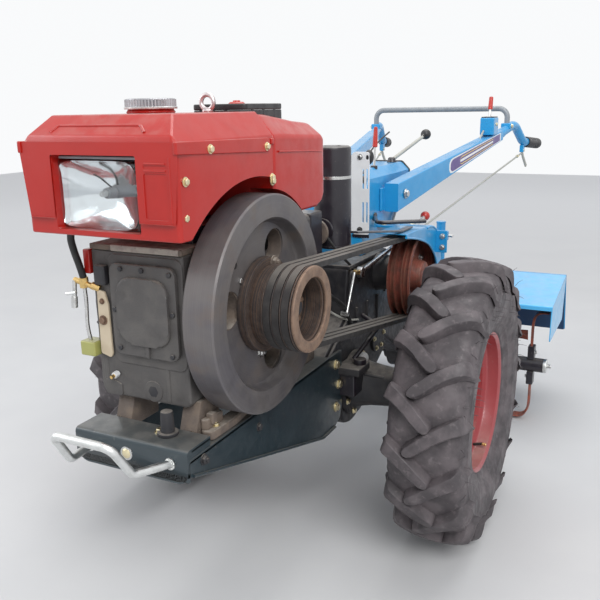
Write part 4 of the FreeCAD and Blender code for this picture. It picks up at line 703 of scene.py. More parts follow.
def bolt(piece, place, along, size=6.0, material=None, washer=True, nut=False):
    """A hexagon head with its washer, or a nut on a stud."""
    material = material or ZINC
    place, along = Vector(place), Vector(along).normalized()
    base = 0.0
    if washer:
        piece.add(disc(place, along, -0.5, size * 0.22, size * 1.3, size * 0.06, 20), material)
        base = size * 0.22
    head = [(base - 0.1, 0), (base - 0.1, size), (base + size * 0.55, size), (base + size * 0.72, size * 0.78)]
    head.append((base + size * 0.72, 0))
    piece.add(lathe(head, place, along, 6, size * 0.05), material)
    if nut:
        stud = base + size * 1.15
        piece.add(disc(place, along, base, stud, size * 0.55, size * 0.08, 16), material)


def round_head(piece, place, along, size=6.0, material=None):
    """A domed head without a slot."""
    profile = [(-0.4, 0), (-0.4, size), (size * 0.25, size * 0.96), (size * 0.5, size * 0.66),
               (size * 0.62, 0)]
    piece.add(lathe(profile, place, along, 24), material or ZINC)


def bolt_ring(piece, centre, radius, count, along, size, material=None, first=0.0, nut=False):
    """Bolts evenly round a circle that faces along X or Z."""
    along = Vector(along)
    for n in range(count):
        angle = math.radians(first + 360 * n / count)
        if abs(along.x) > 0.5:
            place = Vector(centre) + Vector((0, radius * math.cos(angle), radius * math.sin(angle)))
        else:
            place = Vector(centre) + Vector((radius * math.cos(angle), radius * math.sin(angle), 0))
        bolt(piece, place, along, size, material, nut=nut)


def weld(piece, points, radius, material, wobble=0.25):
    """A lumpy weld bead."""
    path = smooth_line(points, 8)

    def section(share):
        r = radius * (1 + wobble * math.sin(share * len(path) * 2.1))
        return circle(0, 0, r, 8)

    piece.add(sweep(path, section), material)


# Wheels

TYRE_HALF = 83.0
LUGS = 17
LUG_STEP = 360.0 / LUGS
RIM_SEAT_R = 152.4
RIM_FLANGE_R = 173.0
RIM_HALF = 63.0
DISC_X = 344.0 - TRACK_HALF
# The tread's bars, station by station from the tip near the middle to the foot on the sidewall:
# crown offset, crown radius, base offset, base radius, turn in degrees, half width
LUG_STATIONS = (
    (-28.0, 319.6, -28.0, 294.0, -0.2, 3.5),
    (-26.0, 319.8, -26.0, 294.0, -0.6, 8.5),
    (-19.0, 320.0, -19.0, 295.0, -1.6, 12.0),
    (0.0, 320.0, 0.0, 296.0, -4.2, 13.0),
    (18.0, 319.0, 18.0, 296.0, -7.0, 13.0),
    (38.0, 317.0, 38.0, 295.0, -9.4, 13.3),
    (56.0, 313.6, 55.0, 291.0, -11.3, 14.0),
    (70.0, 309.0, 67.0, 285.0, -12.5, 15.0),
    (76.0, 301.0, 73.0, 276.0, -13.0, 15.4),
    (79.0, 286.0, 76.5, 266.0, -13.3, 15.6),
    (80.5, 270.0, 78.0, 256.0, -13.6, 15.0),
    (80.6, 262.0, 79.4, 250.0, -13.8, 14.0),
)
LUG_EDGE = 2.4
LUG_FLARE = 3.4


def on_wheel(offset, radius, degrees):
    """A place on a wheel: offset from its middle, radius, and angle from the top towards the front."""
    t = math.radians(degrees)
    return Vector((offset, -radius * math.sin(t), radius * math.cos(t) + TYRE_R))


def lug(first, outer):
    """One bar of the tread, to the outer or inner side."""
    side = 1 if outer else -1
    shift = 0.0 if outer else 10.0
    crown, base = [], []
    for x_top, r_top, x_base, r_base, turn, _ in LUG_STATIONS:
        late = max(0.0, 1 - (x_top + 18) / 75)
        top_x, base_x = (x_top + shift * late) * side, (x_base + shift * late) * side
        crown.append(on_wheel(top_x, r_top, first + turn))
        base.append(on_wheel(base_x, r_base, first + turn))
    form = bmesh.new()
    rings = []
    count = len(crown)
    for n in range(count):
        ahead = (crown[min(n + 1, count - 1)] - crown[max(n - 1, 0)]).normalized()
        rise = (crown[n] - base[n]).normalized()
        across = ahead.cross(rise).normalized()
        half = LUG_STATIONS[n][5]
        places = (
            base[n] - across * (half + LUG_FLARE),
            crown[n] - across * half - rise * LUG_EDGE,
            crown[n] - across * (half - LUG_EDGE),
            crown[n] + across * (half - LUG_EDGE),
            crown[n] + across * half - rise * LUG_EDGE,
            base[n] + across * (half + LUG_FLARE),
        )
        rings.append([form.verts.new(p) for p in places])
    for a, b in zip(rings, rings[1:]):
        for k in range(6):
            m = (k + 1) % 6
            form.faces.new((a[k], a[m], b[m], b[k]))
    form.faces.new(rings[0][::-1])
    form.faces.new(rings[-1])
    bmesh.ops.recalc_face_normals(form, faces=form.faces)
    return form


def carcass():
    """The tyre's body with the ribs of its sidewalls, as one closed turned form."""
    half_profile = [
        (58.0, 156.0), (63.0, 160.0), (65.0, 170.0), (67.5, 176.0), (70.5, 178.0), (72.0, 182.0), (71.5, 187.0),
        (74.0, 191.0), (77.5, 205.0), (79.0, 207.0), (79.4, 210.0), (79.2, 213.0), (80.5, 222.0), (81.2, 236.0),
        (81.0, 246.0), (82.2, 248.0), (82.2, 251.0), (80.4, 253.0), (79.0, 262.0), (76.0, 274.0), (70.0, 285.0),
        (60.0, 291.5), (40.0, 296.0), (16.0, 297.8),
    ]
    profile = half_profile + [(0.0, 298.0)] + [(-a, r) for a, r in half_profile[::-1]]
    return lathe(profile, (0, 0, TYRE_R), X, 120, 0, True)


def whisker(place, outward, length):
    """A thin rubber hair left by the mould's vent."""
    outward = Vector(outward).normalized()
    drift = Vector((random.uniform(-0.3, 0.3), random.uniform(-0.3, 0.3), random.uniform(-0.4, 0.1)))
    path = [place - outward, place + outward * length * 0.5, place + (outward + drift * 0.5).normalized() * length]
    return sweep(path, lambda share: circle(0, 0, 0.8 - 0.5 * share, 4))


def tyre_forms():
    forms = [carcass()]
    for n in range(LUGS):
        forms.append(lug(27.4 + LUG_STEP * n, True))
        forms.append(lug(18.0 + LUG_STEP * n, False))
        # Short ribs on the shoulder between the bars
        for side, first in ((1, 27.4), (-1, 18.0)):
            middle = first + LUG_STEP * (n + 0.5) - 9.4
            run = [on_wheel(side * x, r, middle) for x, r in ((72.0, 281.0), (77.0, 272.0), (79.6, 262.0))]
            forms.append(sweep(run, circle(0, 0, 1.6, 6)))
    for n in range(46):
        turn = random.uniform(-130, 130)
        offset, radius = random.choice(((78.0, 290.0), (80.0, 232.0), (79.0, 214.0), (80.6, 262.0)))
        outward = Vector((1, 0, 0)) if radius < 280 else on_wheel(0.6, 1, turn) - Vector((0, 0, TYRE_R))
        forms.append(whisker(on_wheel(offset, radius, turn), outward, random.uniform(10, 23)))
    return forms


def rim_forms():
    """The rolled rim with its drop centre, and the disc with its rolled ridge."""
    outer = [
        (-63.0, 168.0), (-63.0, 172.0), (-60.5, 173.0), (-58.2, 171.0), (-57.4, 160.0), (-54.0, 153.4),
        (-30.0, 151.6), (-24.0, 147.0), (-19.0, 133.0), (19.0, 133.0), (24.0, 147.0), (30.0, 151.6),
        (54.0, 153.4), (57.4, 160.0), (58.2, 171.0), (60.5, 173.0), (63.0, 172.0), (63.0, 168.0),
    ]
    inner = [
        (60.6, 165.0), (59.6, 156.0), (54.6, 149.6), (31.0, 147.8), (26.6, 144.4), (21.6, 129.4),
        (-21.6, 129.4), (-26.6, 144.4), (-31.0, 147.8), (-54.6, 149.6), (-59.6, 156.0), (-60.6, 165.0),
    ]
    barrel = lathe(outer + inner, (0, 0, TYRE_R), X, 96, 0, True)
    x = DISC_X
    web = lathe([(x, 46.0), (x, 92.0), (x + 5, 98.0), (x + 11, 106.0), (x + 13, 116.0), (x + 11, 128.0),
                 (x + 5, 139.0), (x - 3, 144.6), (x - 9, 145.6), (x - 13, 147.0), (x - 13, 149.8),
                 (x - 6, 149.6), (x + 2, 148.0), (x + 10, 143.0), (x + 17, 131.0), (x + 20, 117.0),
                 (x + 18, 104.0), (x + 12, 94.0), (x + 7, 89.0), (x + 7, 46.0)],
                (0, 0, TYRE_R), X, 72, 0, True)
    return barrel, web


def wheel(side):
    """A drive wheel: tyre, rim and the axle with its hub."""
    name = "left" if side > 0 else "right"

    def placed(form):
        for v in form.verts:
            v.co.x = side * (v.co.x + TRACK_HALF)
        if side < 0:
            bmesh.ops.reverse_faces(form, faces=form.faces)
        return form

    tyre = Piece(f"{name}_tyre_rubber", f"{name}_wheel", f"{name}_tyre")
    for form in tyre_forms():
        tyre.add(placed(form), TYRE)
    tyre.done()

    rim = Piece(f"{name}_rim_pressed", f"{name}_wheel", f"{name}_rim")
    for form in rim_forms():
        rim.add(placed(form), RIM_RED)
    valve = [Vector((26, 0, 0)) + on_wheel(0, 140.0, 200.0), Vector((46, 0, 0)) + on_wheel(0, 134.0, 200.0)]
    rim.add(placed(bar(*valve, 3.4, 0.4, 12)), RUBBER)
    rim.add(placed(bar(valve[1], valve[1] + Vector((9, 0, -1)), 3.8, 0.6, 12)), BRASS)
    weld(rim, [placed_point(side, DISC_X - 13, 149.0, 12 * n) for n in range(31)], 2.6, RIM_RED)
    rim.done()

    hub = Piece(f"{name}_hub_and_axle", f"{name}_wheel", f"{name}_axle")
    face = side * (TRACK_HALF + DISC_X)
    centre = Vector((face, 0, TYRE_R))
    out = X * side
    hub.add(lathe([(-11, 0), (-11, 95), (0, 95), (0, 44), (7, 44), (7, 42), (25, 42), (25, 22), (20, 20),
                   (20, 0)], centre, out, 64, 1.2), GEAR_CAST)
    hub.add(disc(centre, out, 19, 30, 12, 1.0, 6), ZINC)
    hub.add(disc(centre, out, 18, 22, 18, 0.6, 32), STEEL)
    hub.add(lathe([(-50, 0), (-50, 36), (-22, 42), (-11, 62), (-11, 0)], centre, out, 48, 1.0), GEAR_CAST)
    inner_end = abs(face) - 121.0
    hub.add(disc(centre, out, -inner_end, -48, 25, 0.8, 32), STEEL)
    for n in range(5):
        spot = placed_point(side, DISC_X + 7, 75.0, 18 + 72 * n)
        bolt(hub, spot, out, 10, ZINC, nut=True)
        stud = placed_point(side, DISC_X - 11, 75.0, 18 + 72 * n)
        bolt(hub, stud, -out, 10, ZINC, washer=False)
    hub.done()


def placed_point(side, offset, radius, degrees):
    """A place on the left or right wheel."""
    place = on_wheel(offset, radius, degrees)
    return Vector((side * (place.x + TRACK_HALF), place.y, place.z))


# Crankshaft, clutch and belts

def on_line(centre, x, radius, degrees):
    """A place about a line along X: angle from the rear towards the top."""
    t = math.radians(degrees)
    return Vector((x, centre.y + radius * math.cos(t), centre.z + radius * math.sin(t)))


def flywheel():
    part = Piece("flywheel_casting", "crankshaft", "flywheel")
    rim = lathe([(28, 0), (28, 30), (93, 30), (93, 110), (98, 116), (104, 150), (100, 158), (93, 166),
                 (93, 191), (95.5, 193), (147, 193), (150, 190), (150, 153), (147, 150), (133, 148),
                 (128, 143), (126, 100), (126, 0)], CRANK, X, 160, 0)
    holes = [lathe([(80, 0), (80, 32), (160, 33), (160, 0)], on_line(CRANK, 0, 106, turn), X, 40)
             for turn in (62, 173, 290)]
    small = lathe([(80, 0), (80, 6), (160, 6), (160, 0)], Vector((0, -548, 716)), X, 20)
    part.add(carved(rim, *holes, small), IRON)
    # Rough casting inside the holes and the raised ring at the recess's corner
    for turn in (62, 173, 290):
        part.add(ring(on_line(CRANK, 0, 106, turn), X, 97, 124, 31.2, 34.4, 0.6, 40), ROUGH_CAST)
    bolt(part, (126, -534, 688), X, 5.0, STEEL, washer=False)
    bolt(part, (142, -446, 704), X, 9.0, ROUGH_CAST, nut=True)
    bolt(part, (126, -475, 546), X, 8.0, STEEL, nut=True)
    part.done()

    pulley = Piece("drive_pulley_grooved", "crankshaft", "drive_pulley")
    pulley.add(ring(CRANK, X, 126.2, 142, 40, 84, 1.6, 96), PULLEY_IRON)
    body = [(141, 53), (141, 69), (150, 72), (166, 72), (166.5, 75)]
    for n in range(3):
        x = 176 + 17 * n
        body += [(x - 7.6, 75), (x - 5.2, 62.5), (x + 5.2, 62.5), (x + 7.6, 75)]
    body += [(220, 75), (221, 73), (221, 56), (219, 53.4), (170, 53.4), (170, 0), (141, 0)]
    pulley.add(lathe(body, CRANK, X, 96, 0.5), PULLEY_IRON)
    pulley.add(ring(CRANK, X, 221.2, 228.2, 55, 75, 2.8, 96), PULLEY_RING)
    # The hub inside the bore, with its keyed shaft end and ring of studs
    pulley.add(ring(CRANK, X, 170, 186, 22, 44, 1.4, 48), HUB_RUST)
    pulley.add(disc(CRANK, X, 170, 196, 20, 1.6, 40), HUB_RUST)
    pulley.add(disc(CRANK, X, 190, 201, 13, 1.0, 6), GEAR_CAST)
    for n in range(6):
        bolt(pulley, on_line(CRANK, 186, 34, 10 + 60 * n), X, 5.0, HUB_RUST)
    pulley.done()


def clutch():
    drum = Piece("clutch_drum_grooved", "clutch", "clutch_drum")
    body = [(164.8, 92), (164.8, 104), (166.2, 108)]
    for n in range(3):
        x = 176 + 17 * n
        body += [(x - 7.6, 108), (x - 5.2, 95.5), (x + 5.2, 95.5), (x + 7.6, 108)]
    body += [(219.8, 108), (221.2, 106), (221.2, 97), (219, 94), (200, 93), (196, 88), (195, 44), (201, 40),
             (221, 36), (226, 34), (227.2, 32), (227.2, 14), (222, 12), (222, 0), (106, 0), (106, 17),
             (166, 17.5), (168, 44), (170, 88)]
    drum.add(lathe(body, CLUTCH, X, 96, 0, True), DRUM_RED)
    for n in range(3):
        spot = on_line(CLUTCH, 195, 66, 30 + 120 * n)
        bolt(drum, spot, X, 7, STEEL, nut=True)
        rib = block(spot - Vector((2, 24, 4)), spot + Vector((8, -12, 4)), 1.5)
        drum.add(turned_about(rib, spot, "X", 30 + 120 * n), DRUM_RED)
    drum.add(disc(CLUTCH, X, 221.6, 226.6, 11, 0.8, 6), STEEL)
    drum.done()


def belts():
    """The belts stay as built, with rubber sides."""
    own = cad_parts["drive_belts"]
    own.data.materials.clear()
    own.data.materials.append(BELT)


# Camera, light and floor

CAMERA_PLACE = Vector((746, -1541, 964))
CAMERA_YAW = math.radians(26.81)
CAMERA_PITCH = math.radians(14.78)
CAMERA_ROLL = math.radians(-1.02)
CAMERA_LENS = 43.69
PHOTO_SIDE = 600


def camera():
    yaw, pitch, roll = CAMERA_YAW, CAMERA_PITCH, CAMERA_ROLL
    ahead = Vector((-math.sin(yaw) * math.cos(pitch), math.cos(yaw) * math.cos(pitch), -math.sin(pitch)))
    right = Vector((math.cos(yaw), math.sin(yaw), 0))
    up = right.cross(ahead)
    side = right * math.cos(roll) + up * math.sin(roll)
    over = up * math.cos(roll) - right * math.sin(roll)
    data = bpy.data.cameras.new("camera")
    data.sensor_width = 36
    data.lens = CAMERA_LENS
    data.clip_end = 60
    made = bpy.data.objects.new("camera", data)
    bpy.context.scene.collection.objects.link(made)
    turn = Matrix((side, over, -ahead)).transposed()
    place = Vector((CAMERA_PLACE.x * MM, CAMERA_PLACE.y * MM + AXLE_Y, CAMERA_PLACE.z * MM))
    made.matrix_world = Matrix.Translation(place) @ turn.to_4x4()
    bpy.context.scene.camera = made


def area_light(name, place, target, size, power, colour=(1, 1, 1)):
    data = bpy.data.lights.new(name, "AREA")
    data.shape = "RECTANGLE"
    data.size, data.size_y = size
    data.energy = power
    data.color = colour
    made = bpy.data.objects.new(name, data)
    bpy.context.scene.collection.objects.link(made)
    made.location = place
    made.rotation_euler = (Vector(target) - Vector(place)).to_track_quat("-Z", "Y").to_euler()
    return made


def studio():
    world = bpy.data.worlds.new("studio")
    bpy.context.scene.world = world
    world.use_nodes = True
    tree = world.node_tree
    back = tree.nodes["Background"]
    back.inputs["Color"].default_value = (0.84, 0.86, 0.90, 1)
    back.inputs["Strength"].default_value = 0.62
    # The pale backdrop, as the camera, mirrors and glass see it
    paths = node(tree, "LightPath")
    some = node(tree, "Math", operation="MAXIMUM")
    seen = node(tree, "Math", operation="MAXIMUM")
    tree.links.new(paths.outputs["Is Camera Ray"], some.inputs[0])
    tree.links.new(paths.outputs["Is Glossy Ray"], some.inputs[1])
    tree.links.new(some.outputs[0], seen.inputs[0])
    tree.links.new(paths.outputs["Is Transmission Ray"], seen.inputs[1])
    pale = node(tree, "Background")
    pale.inputs["Color"].default_value = (0.95, 0.96, 0.97, 1)
    pale.inputs["Strength"].default_value = 1.0
    blend = node(tree, "MixShader")
    tree.links.new(seen.outputs[0], blend.inputs[0])
    tree.links.new(back.outputs[0], blend.inputs[1])
    tree.links.new(pale.outputs[0], blend.inputs[2])
    tree.links.new(blend.outputs[0], tree.nodes["World Output"].inputs["Surface"])
    area_light("key", (2.6, -3.2, 3.6), (0, -0.2, 0.4), (2.6, 2.0), 150)
    area_light("fill", (-3.4, -2.0, 2.4), (0, 0, 0.5), (2.4, 2.4), 55, (0.94, 0.97, 1.0))
    area_light("top", (0.2, 0.6, 4.2), (0, 0, 0.3), (3.0, 3.0), 80)

    stone = Finish("studio_floor", (0.60, 0.60, 0.60), 0.85)
    stone.patches((0.57, 0.57, 0.575), 400, 0.35, 0.7, 0.8)
    stone.grain(4, 0.15, 3)
    # Paler with distance from the machine, so that floor and backdrop meet softly
    span = node(stone.tree, "VectorMath", operation="LENGTH")
    stone.link(stone.place.outputs["Object"], span.inputs[0])
    stone.tint((0.96, 0.96, 0.96), stone.ramp(span.outputs["Value"], 1.6, 6.5))
    form = bmesh.new()
    reach = 9.0
    places = [(-reach, -reach), (reach, -reach), (reach, reach), (-reach, reach)]
    form.faces.new([form.verts.new((x, y, 0)) for x, y in places])
    floor = bpy.data.objects.new("studio_floor", to_mesh(form, "studio_floor"))
    floor.data.materials.append(stone.done())
    bpy.context.scene.collection.objects.link(floor)


camera()
studio()
for side in (1, -1):
    wheel(side)
flywheel()
clutch()
belts()


# Hood: lamp housing, tank and what stands on them

HOOD_LEFT = 142.0
HOOD_RIGHT = -158.0
HOOD_FRONT = -712.0
HOOD_TOP = 960.0
HOOD_SHOULDER = 921.0
HOOD_BOTTOM = 776.0
HOOD_JOINT = -430.0
WINDOW = (-95.0, 67.0, 789.0, 902.0)


def loft(sections, bevel=0.0, steps=3, over=SHARP):
    """A closed form through outlines with the same number of points."""
    form = bmesh.new()
    rings = [[form.verts.new(p) for p in section] for section in sections]
    for a, b in zip(rings, rings[1:]):
        for n in range(len(a)):
            m = (n + 1) % len(a)
            form.faces.new((a[n], a[m], b[m], b[n]))
    form.faces.new(rings[0][::-1])
    form.faces.new(rings[-1])
    return soften(form, bevel, steps, over)


def hood_section(y, left, right, bottom, shoulder, roof, inset=34.0):
    """The hood's outline across the machine at one place."""
    return [(right, y, bottom), (left, y, bottom), (left, y, shoulder), (left - inset, y, roof),
            (right + inset, y, roof), (right, y, shoulder)]


def arch_cutters(start_x, grow=0.0):
    """The turning room of the flywheel and the wider arch in the lamp housing's side."""
    wide = disc(Vector((0, CRANK.y - 30, CRANK.z - 44)), X, start_x, 190, 268 + grow, 0, 128)
    room = disc(CRANK, X, start_x, 190, 199 + grow, 0, 128)
    return wide, room


def lamp_housing():
    part = Piece("lamp_housing_sheet", "chassis", "lamp_housing")
    # The shell behind the front frame, hollow and open below
    outer = loft([
        hood_section(-706, 133, -149, 780, 916, 919, 3),
        hood_section(-702, 137, -153, 780, 919, 930, 9),
        hood_section(-668, 139, -155, 780, 920, 959.6, 32),
        hood_section(-431, 139, -155, 780, 920, 959.6, 32),
    ], 5, 3, math.radians(12))
    hollow = loft([
        hood_section(-699, 134, -150, 700, 914, 926, 8),
        hood_section(-666, 136, -152, 700, 917, 956.6, 32),
        hood_section(-420, 136, -152, 700, 917, 956.6, 32),
    ])
    low, high = WINDOW[2], WINDOW[3]
    opening = rounded(rectangle(WINDOW[0], WINDOW[1], low, high), 3, 3)
    shell = carved(outer, hollow, prism(opening, "y", -730, -655, 0), *arch_cutters(0))
    part.add(shell, RED)
    # The front frame: a drafted box ring round the lamp, with rounded lower corners
    side_left, side_right = HOOD_LEFT - 0.3, HOOD_RIGHT + 0.3
    outline = [(side_right, 921), (side_right + 1.5, 903), (side_right + 11, 812), (side_right + 15, 776),
               (side_left - 17, 776), (side_left - 9, 812), (side_left - 1, 903), (side_left, 921)]
    outline = rounded(outline, [3, 30, 40, 26, 32, 40, 30, 3], 6)
    frame_box = prism(outline, "y", HOOD_FRONT, -661, 3.0, 3)
    inside = [(side_right + 6, 917), (side_right + 17, 790), (side_left - 17, 790), (side_left - 6, 917)]
    room_behind = prism(inside, "y", -706, -640, 0)
    window = prism(opening, "y", -730, -640, 0)
    # The face lies back from the chin, whose top shows as a ledge either side of the window
    face = prism(rectangle(-180, 160, 806, 940), "y", -730, -708.6, 0)
    recess = prism(rounded(rectangle(80, 121, 812, 878), 4, 4), "y", -730, -707.0, 0)
    groove = prism(rounded(rectangle(80, 121, 884, 889), 2, 3), "y", -730, -707.4, 0)
    frame_ring = carved(frame_box, room_behind, window, face, recess, groove, *arch_cutters(0))
    part.add(soften(frame_ring, 0.9, 2, math.radians(60)), RED)
    # The ridges of the recess
    for z in (881.5, 891.5):
        part.add(bar((82, -708.4, z), (119, -708.4, z), 1.5, 0.4, 10), RED)
    part.add(bar((126, -708.0, 808), (126, -708.0, 900), 1.6, 0.5, 10), RED)
    # The raised band along each side
    for x0, x1 in ((135.5, HOOD_LEFT), (HOOD_RIGHT, -151.5)):
        band = [(-711.5, 904), (-711.5, 922), (-446, 917), (-446, 893)]
        part.add(prism(rounded(band, [2, 2, 7, 7], 4), "x", x0, x1, 1.8, 3), RED)
    # The step pressed into the roof's front slope
    ridge = [(-101, -697, 934), (-92, -686, 943.6), (64, -686, 943.6), (78, -697, 934)]
    part.add(sweep(bent(ridge, 8, 5), circle(0, 0, 2.3, 12)), RED)
    for place in ((-628, 908), (-458, 903), (-438, 850)):
        bolt(part, (141.6 if place[1] > 890 else 139.0, place[0], place[1]), X, 5.6)
        bolt(part, (-157.6 if place[1] > 890 else -155.0, place[0], place[1]), -X, 5.6)
    for z in (866, 814):
        bolt(part, (141.2 - (908 - z) * 0.07, -690, z), X, 5.6)
        bolt(part, (-157.2 + (908 - z) * 0.09, -690, z), -X, 5.6)
    # The folded tab at the band's rear end
    part.add(block((130, -441, 905), (HOOD_LEFT, -430.5, 916), 2.4, 3), RED)
    part.done()


def headlamp():
    part = Piece("headlamp_unit", "chassis", "headlamp")
    tray = [(-110, 908), (62, 908), (62, 784), (-110, 784)]
    part.add(prism(rounded(tray, 6, 4), "y", -661, -657, 0.8), BLACK_METAL)
    # The mirror: a flattened bowl with its rim, seen through the lens
    middle = Vector((-24, 0, 841))
    half_w, half_h = 76.0, 51.0
    form = bmesh.new()
    rings = []
    for share in (1.0, 0.94, 0.85, 0.74, 0.62, 0.5, 0.38, 0.26, 0.16):
        y = -660.5 - 28.5 * share ** 2.2
        turn = 48
        ring_verts = []
        for n in range(turn):
            t = 2 * math.pi * n / turn
            power = 0.32 if share > 0.9 else 0.32 + 0.68 * (1 - share)
            x = math.copysign(abs(math.cos(t)) ** power, math.cos(t))
            z = math.copysign(abs(math.sin(t)) ** power, math.sin(t))
            ring_verts.append(form.verts.new((middle.x + half_w * share * x, y, middle.z + half_h * share * z)))
        rings.append(ring_verts)
    for a, b in zip(rings, rings[1:]):
        for n in range(48):
            m = (n + 1) % 48
            form.faces.new((a[n], a[m], b[m], b[n]))
    form.faces.new(rings[-1])
    back = bmesh.ops.extrude_face_region(form, geom=form.faces[:])
    for item in back["geom"]:
        if isinstance(item, bmesh.types.BMVert):
            item.co.y = min(item.co.y + 2.5, -657.5)
    bmesh.ops.recalc_face_normals(form, faces=form.faces)
    part.add(form, MIRROR)
    part.add(lathe([(0, 0), (0, 9), (9, 8), (12, 5.4), (26, 5.0), (29, 3.4), (30, 0)], (-16, -661, 843), -Y, 24),
             STEEL)
    part.add(bar((-16, -662, 843), (-16, -678, 843), 10.5, 1.2, 24, 8.5), GREY_PLASTIC)
    wire = [(-34, -682, 872), (-20, -676, 862), (-13, -668, 852)]
    part.add(hose(wire, 1.3, 8, 5), RUBBER)
    # The moulded lens: a slightly crowned plate with a rolled rim, set a little askew
    lens_low, lens_high = Vector((-103, 0, 788)), Vector((58, 0, 897))
    columns, rows = 40, 26
    front_grid, back_grid = [], []
    glass = bmesh.new()
    for r in range(rows + 1):
        for c in range(columns + 1):
            u, v = c / columns, r / rows
            x = lens_low.x + (lens_high.x - lens_low.x) * u
            z = lens_low.z + (lens_high.z - lens_low.z) * v
            edge = max(abs(2 * u - 1), abs(2 * v - 1))
            crown = 7.0 * (1 - (2 * u - 1) ** 2) * (1 - 0.6 * (2 * v - 1) ** 2)
            roll = 5.0 * max(0, edge - 0.9) / 0.1
            y = -690 - crown + roll - 2.0 * (1 - u)
            front_grid.append(glass.verts.new((x, y, z - 2.0 * u)))
            flute = 0.9 * abs(math.sin(u * columns * math.pi / 2)) if u < 0.14 or u > 0.86 else 0.0
            flute += 0.5 * abs(math.sin(v * 3.5 * math.pi)) ** 8
            back_grid.append(glass.verts.new((x, y + 3.0 + flute, z - 2.0 * u)))
    for grid in (front_grid, back_grid):
        for r in range(rows):
            for c in range(columns):
                a = r * (columns + 1) + c
                glass.faces.new((grid[a], grid[a + 1], grid[a + columns + 2], grid[a + columns + 1]))
    border = [c for c in range(columns)] + [columns + r * (columns + 1) for r in range(rows)]
    border += [rows * (columns + 1) + c for c in range(columns, 0, -1)]
    border += [r * (columns + 1) for r in range(rows, 0, -1)]
    for a, b in zip(border, border[1:] + border[:1]):
        glass.faces.new((front_grid[a], front_grid[b], back_grid[b], back_grid[a]))
    bmesh.ops.recalc_face_normals(glass, faces=glass.faces)
    part.add(glass, LENS)
    rim = rounded(rectangle(-105, 60, 785, 899), 6, 4)
    hole = rounded(rectangle(-101, 56, 789, 895), 4, 4)
    part.add(plate(rim, [hole], "y", -690, -684, 0.8), GREY_PLASTIC)
    rim = rounded(rectangle(-107, 61, 783.5, 901), 6, 4)
    hole = rounded(rectangle(-101, 56, 789, 895), 4, 4)
    part.add(plate(rim, [hole], "y", -684, -662, 0.8), BLACK_METAL)
    part.done()


